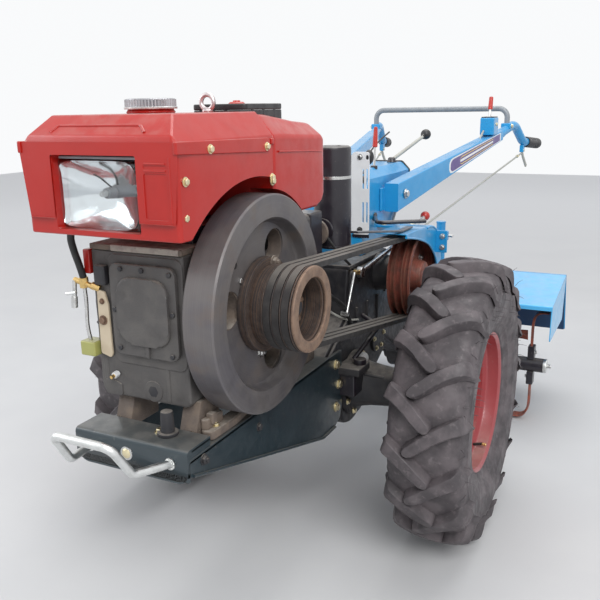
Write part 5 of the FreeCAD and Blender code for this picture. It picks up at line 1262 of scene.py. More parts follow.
def fuel_tank():
    part = Piece("fuel_tank_pressed", "chassis", "fuel_tank")
    body = loft([
        hood_section(-429.6, 139.5, -155.5, 778, 918, 955, 33),
        hood_section(-400, 140.5, -156.5, 778, 918, 954, 33),
        hood_section(-292, 141.5, -157.5, 778, 913, 940.6, 33),
        hood_section(-262, 141.5, -157.5, 778, 912, 938.4, 33),
        hood_section(-234, 140.5, -156.5, 788, 911, 936, 32),
        hood_section(-222.4, 137.0, -153.0, 802, 906, 929, 31),
    ], 9, 4, math.radians(14))
    nose = block((-150, -588, 783), (134, -429, 914), 6, 3)
    arch = disc(CRANK, X, 90, 190, 201, 0, 128)
    nose_room = disc(Vector((0, CRANK.y - 30, CRANK.z - 44)), X, 26, 190, 268, 0, 96)
    part.add(carved(body, arch), RED)
    part.add(carved(nose, nose_room, disc(CRANK, X, 26, 190, 201, 0, 96)), RED)
    # The pressed ledge along each side of the tank below its shoulder
    seam = [(141.6, -416, 892), (142.0, -290, 886), (141.0, -240, 882)]
    part.add(sweep(smooth_line(seam, 6), circle(0, 0, 1.6, 8)), RED, True)
    part.add(block((-94, -576, 753), (65, -330, 779), 2), BLACK_METAL)
    bolt(part, (139.4, -438, 844), X, 6.0)
    bolt(part, (-60, -222.5, 800), Y, 6.0)
    bolt(part, (50, -222.5, 800), Y, 6.0)
    part.add(disc((-110, -223, 796), Y, 0, 7, 9, 1.4, 24), BRASS)
    # The seam on the roof where the two pressings meet
    part.add(bar((-118, -428, 953.4), (104, -428, 953.4), 1.8, 0.4, 10), RED)
    part.done()

    cap = Piece("fuel_cap_knurled", "chassis", "fuel_cap")
    middle = Vector((-2, -575, 0))
    cap.add(lathe([(960, 0), (960, 38), (962, 39), (965, 36.5), (967, 36), (967, 0)], middle, Z, 64, 0.4), RED)
    edge = []
    for n in range(144):
        t = 2 * math.pi * n / 144
        radius = 40.6 if n % 3 else 38.9
        edge.append((middle.x + radius * math.cos(t), middle.y + radius * math.sin(t)))
    cap.add(prism(edge, "z", 969.5, 981, 0.0), CAP_ALLOY)
    cap.add(lathe([(966.2, 0), (966.2, 41.6), (967, 42), (969.2, 42), (970, 41), (970, 0)], middle, Z, 72), STEEL)
    cap.add(lathe([(980, 0), (980, 40), (982, 38.5), (982.6, 34), (982.6, 16), (981.6, 12), (981.6, 0)],
                  middle, Z, 72), CAP_ALLOY)
    cap.add(block((-32, -579, 981), (16, -571, 983), 0.9), CAP_ALLOY)
    cap.done()

    tray = Piece("filler_box_black", "chassis", "filler_box")
    base = [(-25.6, -426.6), (84.6, -426.6), (84.6, -290.4), (-25.6, -290.4)]
    tray.add(prism(rounded(base, 7, 4), "z", 938, 962, 1.5), BLACK_PLASTIC)
    tray.add(prism(rounded([(-26, -427), (85, -427), (85, -290), (-26, -290)], 8, 5), "z", 962.4, 973.0, 2.4, 3),
             BLACK_PLASTIC)
    for y in (-402, -362, -322):
        tray.add(block((82.5, y - 3, 944), (85, y + 3, 963), 0.8), BLACK_PLASTIC)
    for x in (-8, 18, 44):
        tray.add(block((x - 3, -427, 944), (x + 3, -424.5, 963), 0.8), BLACK_PLASTIC)
    tray.add(lathe([(972, 0), (972, 15), (974, 15), (976.5, 12), (976.5, 7), (979, 6.4), (979.5, 0)],
                   (34, -372, 0), Z, 32), RED_PLASTIC)
    bolt(tray, (84.8, -410, 951), X, 4.5, STEEL)
    tray.done()

    eye = Piece("lifting_eye_forged", "chassis", "lifting_eye")
    centre = Vector((20, -446, 976.2))
    loop = [centre + Vector((12.6 * math.cos(t), 0, 12.6 * math.sin(t)))
            for t in (2 * math.pi * n / 40 for n in range(40))]
    eye.add(sweep(loop, circle(0, 0, 4.0, 14), True, Y), PINK_METAL)
    eye.add(lathe([(959.6, 0), (959.6, 9.5), (962, 10), (964.4, 8.6), (966.6, 5), (967.6, 0)], (20, -446, 0), Z, 32),
            PINK_METAL)
    eye.done()


# Engine

def engine():
    part = Piece("engine_casting", "chassis", "engine_block")
    case = [(-108, 498), (-100, 486), (72, 486), (79, 494), (79, 742), (-108, 742)]
    part.add(prism(rounded(case, [14, 10, 8, 8, 4, 4], 5), "y", -626, -330, 4, 3), BLOCK)
    # The light machined strip that the tank stands on
    part.add(block((-108, -627.6, 742.6), (79, -330, 752), 1.2), ROUGH_CAST)
    strip = Finish("dusty_ledge", (0.42, 0.38, 0.33), 0.8)
    strip.patches((0.30, 0.26, 0.23), 16, 0.4, 0.66, 0.9).patches((0.14, 0.12, 0.11), 7, 0.6, 0.74, 0.7)
    strip.grain(2.5, 0.3, 4)
    ledge = strip.done()
    part.add(block((-64, -628, 742), (73, -612, 753), 2.0, 3), ledge)
    # Raised front face under the cover, stiffening ribs and the two lower flanges
    part.add(prism(rounded(rectangle(-72, 78, 548, 738), 16, 5), "y", -628, -600, 2.5, 3), BLOCK)
    part.add(block((-104, -626.5, 508), (-74, -600, 738), 5, 3), BLOCK)
    for x in (-92, 36):
        part.add(block((x - 4, -627.6, 490), (x + 4, -600, 552), 2.2), BLOCK)
    part.add(prism(rounded([(-100, 486), (-62, 486), (-62, 508), (-86, 516), (-100, 512)], 6, 4), "y", -628, -590, 2),
             BLOCK)
    part.add(disc((4, -628, 505), -Y, -6, -0.4, 19, 2.0, 32), BLOCK)
    part.add(disc((4, -628, 505), -Y, -6, 0, 11, 1.4, 6), GEAR_CAST)
    # The crank boss, the cylinder behind and its ribs
    part.add(lathe([(70, 0), (70, 88), (80, 86), (86, 80), (87, 76), (87, 0)], CRANK, X, 72), BLOCK)
    for turn in range(0, 360, 45):
        bolt(part, on_line(CRANK, 82, 81, turn + 12), X, 4.6, GEAR_CAST, washer=False)
    barrel = [(-90, 536), (-82, 530), (53, 530), (61, 536), (61, 734), (53, 742), (-82, 742), (-90, 734)]
    part.add(prism(barrel, "y", -332, -128, 4, 3), BLOCK)
    for x in (62.5, -91.5):
        side = 1 if x > 0 else -1
        part.add(prism(rounded(rectangle(-318, -142, 560, 706), 22, 6), "x", x - 3 * side, x + 3 * side, 2), BLOCK)
        for y in (-300, -230, -160):
            for z in (572, 694):
                bolt(part, (x + 3 * side, y, z), X * side, 4.6, GEAR_CAST, washer=False)
    for y in (-600, -540, -480, -420, -360):
        part.add(block((-107.8, y - 4, 500), (-104, y + 4, 736), 1.6), BLOCK)
    part.add(prism(rounded(rectangle(-480, -372, 520, 640), 18, 6), "x", -107.9, -104, 1.5), BLOCK)
    # Feet on the rails, each with its bolt
    for side in (1, -1):
        for y in (-585, -205):
            low, high = 428.4, 492 if y < -400 else 534
            shape = rounded([(y - 39, low), (y + 39, low), (y + 39, low + 16), (y + 22, high), (y - 22, high),
                             (y - 39, low + 16)], 4, 3)
            inner, outer = (51, 85) if side > 0 else (-85, -51)
            part.add(prism(shape, "x", inner, outer, 2.4), ROUGH_CAST)
            if y > -400:
                part.add(block((min(30 * side, 60 * side), y - 39, high - 16),
                               (max(30 * side, 60 * side), y + 39, high), 2), BLOCK)
            bolt(part, (76 * side, y - 30, low + 15), Z, 7, ZINC, nut=True)
            bolt(part, (76 * side, y + 30, low + 15), Z, 7, ZINC, nut=True)
    part.done()

    cover = Piece("engine_front_cover", "chassis", "engine_cover")
    cover.add(prism(rounded(rectangle(-63, 69, 568, 724), 16, 6), "y", -637, -628.3, 1.6, 3), BLOCK)
    raised = prism(rounded(rectangle(-47, 56, 590, 703), 27, 8), "y", -643.8, -636, 0)
    front = [e for e in raised.edges if all(v.co.y < -643 for v in e.verts)]
    bmesh.ops.bevel(raised, geom=front, offset=4.5, segments=4, profile=0.5, affect="EDGES")
    cover.add(raised, BLOCK)
    cover.add(block((4, -641, 569), (12, -630, 594), 1.6), BLOCK)
    for x, z in ((-38, 716), (5, 716), (59, 713), (-55, 646), (62, 648), (-49, 580), (57, 577)):
        bolt(cover, (x, -637, z), -Y, 4.6, GEAR_CAST, washer=False)
    cover.done()

    head = Piece("cylinder_head_casting", "chassis", "cylinder_head")
    head.add(block((-90, -127.6, 523), (61, -66, 742), 5, 3), BLACK_METAL)
    head.add(block((-86, -131, 526), (57, -126, 738), 1), ROUGH_CAST)
    head.add(block((-70, -68, 550), (41, -38, 722), 14, 5), BLACK_METAL)
    head.add(block((-74, -68, 546), (45, -60, 726), 5, 3), BLACK_METAL)
    head.add(disc((-14, -38, 640), Y, -2, 5.6, 13, 1.5, 6), STEEL)
    for x in (-80, -48, 20, 51):
        for z in (536, 728):
            bolt(head, (x, -66, z), Y, 6.5, GEAR_CAST, nut=True)
    head.add(lathe([(0, 0), (0, 30), (9, 30), (11, 24), (20, 22), (24, 0)], (42, -66, 690), Y, 32, 0.6), ROUGH_CAST)
    for z in (664, 716):
        bolt(head, (42, -57, z), Y, 5, STEEL, nut=True)
    head.done()

    pump = Piece("fuel_pump_and_governor", "chassis", "fuel_pump")
    pump.add(prism(rounded([(-592, 560), (-528, 560), (-526, 640), (-534, 706), (-586, 706), (-594, 640)], 10, 5),
                   "x", -138, -107, 3, 3), BLOCK)
    pump.add(disc((-125, -560, 0), Z, 700, 716, 15, 2, 32), ROUGH_CAST)
    pump.add(disc((-125, -560, 0), Z, 714, 726, 10, 1, 6), BRASS)
    pump.add(disc((-125, -560, 0), Z, 724, 733.6, 6.5, 1, 24), BRASS)
    for y, z in ((-584, 572), (-536, 572), (-584, 694), (-536, 694)):
        bolt(pump, (-138, y, z), -X, 4.6, ZINC)
    pump.add(prism(rounded(rectangle(-582, -540, 600, 668), 8, 4), "x", -141.8, -137, 1.6), OLIVE)
    pump.add(disc((-138, -561, 634), -X, -1, 3.9, 12, 1, 32), STEEL)
    pump.done()


def engine_extras():
    """Pipes, strips and small castings on the engine's front right corner."""
    part = Piece("engine_pipes_and_strips", "chassis")
    # Black fuel hose from the tank's cock, with its brass fittings
    path = [(-96, -676, 786), (-108, -668, 766), (-117, -654, 742), (-121, -642, 718), (-121, -634, 692)]
    part.add(hose(path, 6.0, 14, 6), RUBBER)
    part.add(bar((-142, -634, 688), (-104, -634, 680), 5.0, 1.0, 20), BRASS)
    part.add(disc((-121, -634, 685), (0, -0.1, 1), -9, 9, 8.5, 1.2, 6), BRASS)
    part.add(bar((-106, -633, 681), (-92, -628, 676), 7.0, 1.2, 6), BRASS)
    # The drain tap with its cross handle
    part.add(bar((-140, -636, 688), (-141, -639, 652), 3.6, 0.6, 14), STEEL)
    part.add(bar((-141, -639, 660), (-142, -640, 640), 5.6, 1.0, 20), STEEL)
    part.add(bar((-157, -641, 663), (-134, -641, 667), 3.0, 1.0, 12), SILVER)
    part.add(block((-95, -640, 684), (-71, -626, 718), 4, 3), GEAR_CAST)
    # The cream strip with its brown bolt, and the olive block beside it
    part.add(prism(rounded([(-98, 562), (-76, 556), (-73, 564), (-74, 650), (-80, 672), (-96, 675)], 5, 4),
                   "y", -633, -628.2, 1.2), CREAM)
    bolt(part, (-86.5, -633, 622), -Y, 6.5, HUB_RUST)
    bolt(part, (-86, -633, 655), -Y, 4.0, HUB_RUST)
    part.add(block((-136, -642, 556), (-104, -612, 582), 3, 3), OLIVE)
    part.add(hose([(-122, -630, 582), (-124, -632, 610), (-122, -632, 650), (-121, -634, 678)], 3.4, 10, 6), STEEL)
    part.add(block((-121, -632, 700), (-107, -616, 742), 2.5, 3), RED)
    # The drain cock low on the right, with its white nut
    part.add(bar((-70, -627, 527), (-70, -638, 526), 6.0, 1.0, 6), WHITE_METAL)
    part.add(bar((-70, -636, 526), (-70, -645, 525), 3.2, 0.6, 14), BRASS)
    # Post and bracket between plate and crankcase, and the rough shelf behind them
    part.add(bar((48, -652, 446), (48, -652, 488), 12.0, 2.4, 24, 10.5), GEAR_CAST)
    part.add(disc((48, -652, 446.2), Z, 0, 6, 18, 1.6, 28), GEAR_CAST)
    shelf = [(86, -618), (110, -612), (112, -540), (104, -470), (86, -468)]
    part.add(prism(rounded(shelf, 8, 4), "z", 428.4, 444, 3, 3), ROUGH_CAST)
    part.add(prism(rounded([(84, -616), (98, -606), (98, -560), (84, -556)], 5, 4), "z", 443, 462, 3, 3), ROUGH_CAST)
    part.add(block((87, -600, 450), (103, -584, 470), 4, 3), ROUGH_CAST)
    bolt(part, (98, -586, 444), Z, 6.0, ZINC, nut=True)
    bolt(part, (100, -490, 444), Z, 6.0, ZINC, nut=True)
    part.done("engine_block")


# Frame, bumper and gearbox

def frame_parts():
    front = Piece("front_plate_folded", "chassis", "front_plate")
    half, top = FRAME_HALF, PLATE_TOP
    # One folded section: the top plate, its rounded nose and the lip in front
    nose = rounded([(-628, top), (PLATE_FRONT, top), (PLATE_FRONT, top - 54), (PLATE_FRONT + 6, top - 54),
                    (PLATE_FRONT + 6, top - 6), (-628, top - 6)], [0, 8, 0, 0, 3, 0], 5)
    sheet = prism(nose, "x", -half, half, 0)
    corner = [(-half - 5, top + 4), (half + 5, top + 4), (half + 5, top - 80), (-half - 5, top - 80)]
    keep = rounded([(-half, top + 9), (half, top + 9), (half, top - 60), (-half, top - 60)], [0, 0, 22, 22], 6)
    cutter = plate(corner, [keep], "y", PLATE_FRONT - 4, PLATE_FRONT + 20, 0.01)
    front.add(soften(carved(sheet, cutter), 0.8, 2, math.radians(60)), FRAME_BLACK)
    lip_edge = [(x, PLATE_FRONT + 3, z) for x, z in keep[2:]]
    front.add(sweep([(half - 2, PLATE_FRONT + 3, top - 10)] + [(x * 0.985, y, z + 1.4) for x, y, z in lip_edge]
                    + [(-half + 2, PLATE_FRONT + 3, top - 10)], circle(0, 0, 2.4, 8)), FRAME_BLACK)
    for side in (1, -1):
        x = side * (half - 6)
        front.add(block((min(x, side * half), -690, RAIL_TOP + 0.3), (max(x, side * half), -628, top - 2), 1.4),
                  FRAME_BLACK)
    bolt(front, (31, -650, top), Z, 7.5, ZINC)
    round_head(front, (-6, PLATE_FRONT, 420), -Y, 9, ZINC)
    front.add(disc((-6, PLATE_FRONT, 420), -Y, -1, 2, 12, 0.8, 32), STEEL)
    front.done()

    rails = Piece("side_rails_folded", "chassis", "side_rails")
    web = [(-688, 398), (-688, 427), (-84, 427), (-84, 292), (-98, 262), (-124, 252), (-190, 252)]
    web = rounded(web, [4, 3, 3, 20, 20, 20, 40], 5)
    holes = [circle(-120, 402, 8, 20), circle(-120, 300, 8, 20)]
    rails.add(plate(web, holes, "x", 107, 115, 1.4), FRAME_BLACK, True)
    # The folded flange on top and the narrow one along the rising lower edge
    rails.add(prism([(73, 421), (115, 421), (115, 428), (73, 428)], "y", -688, -150, 1.4), FRAME_BLACK, True)
    low = [(107.5, -682, 400.4), (107.5, -194, 254.6), (107.5, -128, 254.6)]
    section = [(-1.5, -3), (12.5, -3), (12.5, 1.6), (-1.5, 1.6)]
    fold = sweep(bent(low, 40, 6), rounded([(a * 1, b) for a, b in section], 1.6, 3), up=Z)
    rails.add(fold, FRAME_BLACK, True)
    for side in (1, -1):
        for y, z in ((-120, 402), (-120, 300), (-105, 350)):
            bolt(rails, (115 * side, y, z), X * side, 9, ZINC)
        for y in (-660, -600, -440, -300):
            bolt(rails, (96 * side, y, 428), Z, 6.5, GEAR_CAST)
        bolt(rails, (115 * side, -650, 414), X * side, 7.5, GEAR_CAST, nut=True)
        bolt(rails, (115 * side, -470, 396), X * side, 6.5, GEAR_CAST)
    rails.add(block((-107, -400, 392), (107, -370, 398), 1.5), FRAME_BLACK)
    rails.add(block((-107, -402, 370), (107, -397, 398), 1.5), FRAME_BLACK)
    rails.done()

    bumper = Piece("bumper_bar", "chassis", "bumper")
    foot = top - 26
    line = [(82, PLATE_FRONT - 1, foot), (62, PLATE_FRONT - 68, foot + 9), (57, PLATE_FRONT - 106, foot + 68)]
    path = line + [(-x, y, z) for x, y, z in line[::-1]]
    bumper.add(tube(path, 7.0, 18, 20, bevel_steps=8), SILVER)
    for side in (1, -1):
        knot = [(side * (82 + 7.8 * math.cos(t)), PLATE_FRONT - 2.2, foot + 7.8 * math.sin(t))
                for t in (2 * math.pi * n / 12 for n in range(13))]
        weld(bumper, knot, 2.3, SILVER)
    bumper.done()


def gearbox():
    part = Piece("gearbox_casting", "chassis", "gearbox")
    outline = rounded([(-150, 262), (-150, 420), (-30, 490), (-12, 604), (235, 604), (235, 326), (84, 262)],
                      [20, 16, 20, 14, 12, 30, 30], 5)
    part.add(prism(outline, "x", -100, 100, 5, 3), GEAR_CAST)
    inner = rounded([(-140, 272), (-140, 414), (-22, 482), (-4, 592), (223, 592), (223, 334), (80, 272)],
                    [20, 16, 20, 14, 12, 30, 30], 5)
    part.add(prism(inner, "x", -107, 107, 6, 3), GEAR_CAST)
    part.add(disc((0, 0, TYRE_R), X, -106.8, 106.8, 104, 8, 72), GEAR_CAST)
    part.add(lathe([(100, 0), (100, 49), (118, 46), (149.8, 41), (149.8, 19), (140, 18), (140, 0)], CLUTCH, X, 48, 1),
             GEAR_CAST)
    part.add(block((-104, -12, 606 - 9), (104, 236, 605.6), 2.5, 3), GEAR_CAST)
    for side in (1, -1):
        for y, z in ((-136, 286), (-136, 346), (-136, 404), (-76, 446), (-12, 520), (2, 580), (70, 584), (140, 584),
                     (216, 584), (216, 500), (216, 420), (214, 350), (150, 300), (90, 280)):
            bolt(part, (106.5 * side, y, z), X * side, 6.2, GEAR_CAST, washer=False)
        for y in (20, 90, 160):
            part.add(block((min(104 * side, 112 * side), y - 4, 430), (max(104 * side, 112 * side), y + 4, 500), 2),
                     GEAR_CAST)
        part.add(disc((0, 160, 390), X * side, 100, 114, 44, 4, 48), GEAR_CAST)
        bolt_ring(part, (114 * side, 160, 390), 34, 6, X * side, 5.2, ZINC)
    # Drain and filler plugs, and the input flange between case and frame
    part.add(disc((60, -100, 262), -Z, -4, 9, 13, 1.5, 6), STEEL)
    part.add(disc((-60, 180, 606), Z, -2, 0.4, 20, 0.2, 32), STEEL)
    part.add(block((-107, -150, 252.6), (107, -140, 300), 2), GEAR_CAST)
    part.done()

    housings = Piece("axle_trumpets", "chassis", "axle_housings")
    for side in (1, -1):
        out = X * side
        centre = Vector((0, 0, TYRE_R))
        profile = [(107.2, 0), (107.2, 78), (120.5, 78), (121, 66), (132, 58), (160, 51), (210, 46), (268, 46),
                   (272, 52), (299.6, 52), (299.6, 26), (292, 26), (292, 0)]
        housings.add(lathe(profile, centre, out, 56, 1.2), GEAR_CAST)
        housings.add(ring(centre, out, 290, 299.9, 25.6, 44, 1.0, 48), RUBBER)
        for n in range(8):
            t = math.radians(22.5 + 45 * n)
            spot = Vector((121 * side, 70 * math.cos(t), TYRE_R + 70 * math.sin(t)))
            bolt(housings, spot, out, 6.4, ZINC)
        for n in range(4):
            t = math.radians(45 + 90 * n)
            rib = block((118, -4, 40), (200, 4, 62), 2)
            for v in rib.verts:
                share = (v.co.x - 118) / 82
                v.co.z -= 14 * share
            rib = turned_about(rib, (0, 0, 0), "X", math.degrees(t))
            for v in rib.verts:
                v.co = Vector((v.co.x * side, v.co.y, v.co.z + TYRE_R))
            bmesh.ops.recalc_face_normals(rib, faces=rib.faces)
            housings.add(rib, GEAR_CAST)
    housings.done()


def gearbox_extras():
    """Small levers, rods and brackets beside the gearbox, between flywheel and wheel."""
    part = Piece("gearbox_brackets", "chassis")
    part.add(block((106, -104, 372), (166, -36, 390), 4, 3), GEAR_CAST)
    part.add(block((106, -96, 318), (152, -40, 376), 5, 3), BLACK_METAL)
    part.add(disc((150, -60, 390), Z, -2, 12, 15, 2, 32), BLACK_METAL)
    part.add(lathe([(0, 0), (0, 13), (4, 13), (6, 9), (10, 8.4), (11.4, 6.5), (11.4, 0)], (140, -12, 389), -Y, 28),
             WHITE_METAL)
    # The thin bright rod with its brass end
    part.add(bar((118, -16, 594), (118, -62, 508), 3.0, 0.5, 12), SILVER)
    part.add(bar((106, 8, 589), (122, 8, 589), 6, 1, 6), BRASS)
    part.add(bar((118, -16, 594), (118, 10, 590), 4.4, 0.8, 14), BRASS)
    part.add(bar((104, -62, 506), (122, -62, 506), 6, 1, 20), STEEL)
    part.add(tube([(107, 60, 470), (160, 40, 452), (160, -30, 440), (134, -60, 398)], 5.5, 24, 12), BLACK_METAL)
    part.add(hose([(80, -150, 600), (96, -110, 560), (112, -60, 520), (110, -20, 470), (107, 10, 450)], 5, 12, 6),
             RUBBER)
    part.add(hose([(60, -60, 690), (84, -30, 640), (100, 10, 600), (107, 40, 560)], 3.2, 10, 6), RUBBER)
    part.add(hose([(61, -150, 570), (90, -100, 520), (108, -40, 486), (112, 20, 470)], 2.6, 10, 6), CABLE_GREY)
    part.done("gearbox")


# Exhaust

def muffler():
    part = Piece("muffler_can", "chassis", "muffler")
    low, high, radius = 640.0, 878.0, 44.0
    can = [(low, 0), (low, 30), (low + 2, 40), (low + 8, 43.4), (low + 12, 44), (high - 74, 44), (high - 73, 44),
           (high - 72, 43.0), (high - 70, 43.0), (high - 69, 44), (high - 8, 44), (high - 3, 42.6), (high, 38),
           (high, 0)]
    part.add(lathe(can, (42, 32, 0), Z, 96, 0), BLACK_METAL)
    part.add(ring((42, 32, 0), Z, high - 74.5, high - 67.5, 43.0, 44.4, 0.3, 96), STEEL)
    part.add(ring((42, 32, 0), Z, low + 5, low + 9, 42.0, 44.2, 0.6, 96), BLACK_METAL)
    part.add(bar((42, -32, 690), (42, 0, 690), 17, 1, 32), BLACK_METAL)
    part.add(ring((42, 0, 690), Y, -31.9, -24, 16, 27, 1.4, 40), BLACK_METAL)
    part.add(ring((42, 32, 0), Z, high - 2, high, 14, 20, 0.6, 40), BLACK_METAL)
    part.add(disc((42, 32, 0), Z, high - 1, high - 0.4, 14, 0.1, 32), RUBBER)
    part.done()

    guard = Piece("slotted_strip", "chassis", "muffler_guard")
    outline = rounded(rectangle(58.2, 103.8, 660.2, 859.8), [10, 6, 6, 10], 5)
    holes = []
    for low, high in ((690, 740), (772, 820)):
        for x in (96, 86):
            holes.append(rounded(rectangle(x, x + 4, low, high), 1.9, 4)[::-1])
    guard.add(plate(outline, holes, "y", 109, 112, 0.5), STRIP_WHITE)
    guard.add(bar((58.4, 110.6, 668), (58.4, 110.6, 852), 1.6, 0.4, 8), STRIP_WHITE)
    bolt(guard, (80, 109, 848), -Y, 5.5, STEEL)
    bolt(guard, (80, 109, 672), -Y, 5.5, GEAR_CAST)
    # The dark toothed foot under the strip
    teeth = [(60, 660), (104, 660)]
    count = 7
    for n in range(count):
        x = 104 - (n + 0.5) * 44 / count
        teeth += [(x + 2.4, 652), (x - 2.4, 652), (x - 3.4, 657)]
    guard.add(prism(teeth, "y", 109.3, 111.7, 0), BLACK_METAL)
    guard.done()


# Handles

CONSOLE_SIDE = [(112, 606), (112, 696), (165, 812), (470, 812), (470, 760), (330, 646), (330, 606)]


def console():
    part = Piece("handle_console_folded", "chassis", "handle_console")
    outer = prism(rounded(CONSOLE_SIDE, [3, 14, 12, 10, 8, 22, 3], 5), "x", -84, 84, 3.2, 3)
    inner = [(y, z) for y, z in ((117, 590), (117, 695), (168, 807), (465, 807), (465, 763), (325, 649), (325, 590))]
    hollow = prism(inner, "x", -79, 79, 0)
    bevels = []
    for side in (1, -1):
        bevels.append(prism([(60 * side, 814), (86 * side, 814), (86 * side, 788)], "y", 60, 520, 0))
        hollow = trim(hollow, (73 * side, 0, 794), Vector((side, 0, 1)))
    part.add(soften(carved(outer, hollow, *bevels), 1.6, 2, math.radians(30)), BLUE)
    # The black edge strip along the rear of the top and down its corner
    trim_line = [(-60, 470.6, 812), (63, 470.6, 812), (84, 470.6, 790), (84, 470.6, 762)]
    part.add(tube(trim_line, 3.0, 7, 12), TRIM_BLACK)
    for side in (1, -1):
        for y, z in ((140, 624), (220, 624), (312, 624), (400, 726)):
            bolt(part, (84 * side, y, z), X * side, 6.5, ZINC)
    # The pivot ball of the oval knob's lever, on the console's front
    part.add(ball((72, 150, 790), 9, (1, 1, 1)), BLACK_PLASTIC)
    part.done()

    knob = Piece("console_small_levers", "chassis")
    knob.add(bar((72, 150, 806), (97, 124, 836), 3.2, 0.6, 12), STEEL)
    form = ball((0, 0, 0), 13, (0.9, 0.9, 1.35))
    knob.add(moved(form, Matrix.Translation((99, 120, 847))), BLACK_PLASTIC)
    knob.add(bar((60, 256, 808), (60, 262, 874), 3.0, 0.6, 12), STEEL)
    knob.add(bar((60, 261, 862), (60, 266, 914), 6.8, 3.0, 16, 4.8), RED_PLASTIC)
    knob.add(disc((60, 256, 811), Z, -4, 5, 9, 1.2, 24), BLACK_METAL)
    knob.done("handle_console")


def on_beam(share, out=0.0, rise=0.0):
    """A place beside a handle beam's middle line."""
    place = BEAM_START.lerp(BEAM_END, share)
    run = (BEAM_END - BEAM_START).normalized()
    side = run.cross(Z).normalized()
    over = side.cross(run).normalized()
    return place + side * out + over * rise


BEAM_FIRST = 0.03


def beam_section(share, grow=0.0):
    """The beam's outline across it, with folded corners, at a share of its length."""
    width = 38 + (36 - 38) * share + grow
    height = 74 + (32 - 74) * share + grow
    centre = BEAM_START.lerp(BEAM_END, share)
    corner = rounded(rectangle(-width / 2, width / 2, -height / 2, height / 2), 5, 3)
    return [(centre.x + a, centre.y, centre.z + b) for a, b in corner]


def beams():
    part = Piece("handle_beams_folded", "chassis", "handle_beams")
    body = loft([beam_section(BEAM_FIRST + (1 - BEAM_FIRST) * n / 8) for n in range(9)])
    mouth = loft([beam_section(0, -7), beam_section(0.14, -7)])
    part.add(carved(body, mouth), BLUE, True)
    part.add(loft([beam_section(BEAM_FIRST + 0.012, -6.6), beam_section(0.12, -6.6)]), RUBBER, True)
    # Rolled edges, the pad against the console and the end cap
    for a, b in ((1, 1), (1, -1), (-1, 1), (-1, -1)):
        line = []
        for n in range(9):
            share = BEAM_FIRST + (1 - BEAM_FIRST) * n / 8
            half_w, half_h = 19 - share, 37 - 21 * share
            centre = BEAM_START.lerp(BEAM_END, share)
            line.append(centre + Vector((a * (half_w - 3.2), 0, b * (half_h - 3.2))))
        part.add(sweep(line, circle(0, 0, 3.3, 10)), BLUE, True)
    part.add(block((84.2, 232.4, 701.4), (90, 351.6, 760.6), 2, 3), BLUE, True)
    spot = on_beam(0.085, 19.2, 0)
    bolt(part, spot, X, 10, STEEL)
    bolt(part, (-spot.x, spot.y, spot.z), -X, 10, STEEL)
    # The stripe along the outer face: violet in a white outline, with plain gold and white bands, no lettering
    for low, high, lift, finish in ((-0.78, 0.78, 0.4, STRIPE_WHITE), (-0.64, 0.64, 0.6, STRIPE_PURPLE),
                                    (0.36, 0.46, 0.8, STRIPE_GOLD), (-0.46, -0.36, 0.8, STRIPE_GOLD),
                                    (-0.14, 0.14, 1.0, STRIPE_WHITE)):
        sections = []
        first, last = (0.44, 0.97) if high > 0.7 else (0.452, 0.96) if high > 0.5 else (0.54, 0.88)
        for along, narrow in ((0, 0.35), (0.012, 0.7), (0.03, 0.92), (0.06, 1), (0.5, 1), (1, 1)):
            share = first + (last - first) * along
            half_w, half_h = 19 - share, (37 - 21 * share) * narrow
            centre = BEAM_START.lerp(BEAM_END, share)
            sections.append([(centre.x + half_w - 1, centre.y, centre.z + low * half_h),
                             (centre.x + half_w + lift, centre.y, centre.z + low * half_h),
                             (centre.x + half_w + lift, centre.y, centre.z + high * half_h),
                             (centre.x + half_w - 1, centre.y, centre.z + high * half_h)])
        part.add(loft(sections), finish, True)
    part.done()

    tubes = Piece("handle_tubes_bent", "chassis", "handle_tubes")
    start, end = BEAM_END, TUBE_END

    def at(share, height):
        place = start + (end - start) * share
        return Vector((place.x, place.y, height))

    line = [start, at(0.38, start.z + 34), at(0.62, end.z + 12), end]
    tubes.add(tube(line, 15, 60, 24, bevel_steps=10), BLUE, True)
    # The clamp socket where the tube enters the beam, and the bow's brackets
    run = (line[1] - line[0]).normalized()
    tubes.add(bar(start - run * 2 + Y * 1.5, start + run * 30, 16.6, 1.4, 32), BLUE, True)
    tubes.add(block((218, 1038, 882), (252, 1066, 902), 4, 3), BLUE, True)
    bolt(tubes, (252, 1052, 892), X, 6, ZINC)
    bolt(tubes, (-252, 1052, 892), -X, 6, ZINC)
    tubes.done()

    low = at(0.62, end.z + 12)
    back = (low - end).normalized()
    grips = Piece("rubber_grips", "chassis", "grips")
    profile = [(-5, 0), (-5, 17), (-3.5, 18.8), (2, 19)]
    for n in range(11):
        x = 6 + n * 9
        profile += [(x, 19), (x + 1.2, 17.2), (x + 3.0, 17.2), (x + 4.2, 19)]
    profile += [(105, 19), (107, 18), (107, 15.2), (106, 0)]
    for side in (1, -1):
        place, along = Vector((end.x * side, end.y, end.z)), Vector((back.x * side, back.y, back.z))
        grips.add(lathe(profile, place, along, 40, 0), BLACK_PLASTIC)
    grips.done()

    bow = Piece("handle_bow_tube", "chassis", "handle_bow")
    foot_z = BEAM_END.z + 34 * 0.35
    points = [(236, 1052, foot_z + 12), (236, 1052, foot_z + 74), (-236, 1052, foot_z + 74), (-236, 1052, foot_z + 12)]
    grey = plain("bow_grey", (0.27, 0.29, 0.31), (0.20, 0.21, 0.22), (0.25, 0.4), 1.2, 0.05, 0.05)
    bow.add(tube(points, 9, 40, 20, bevel_steps=10), grey)
    bow.done()


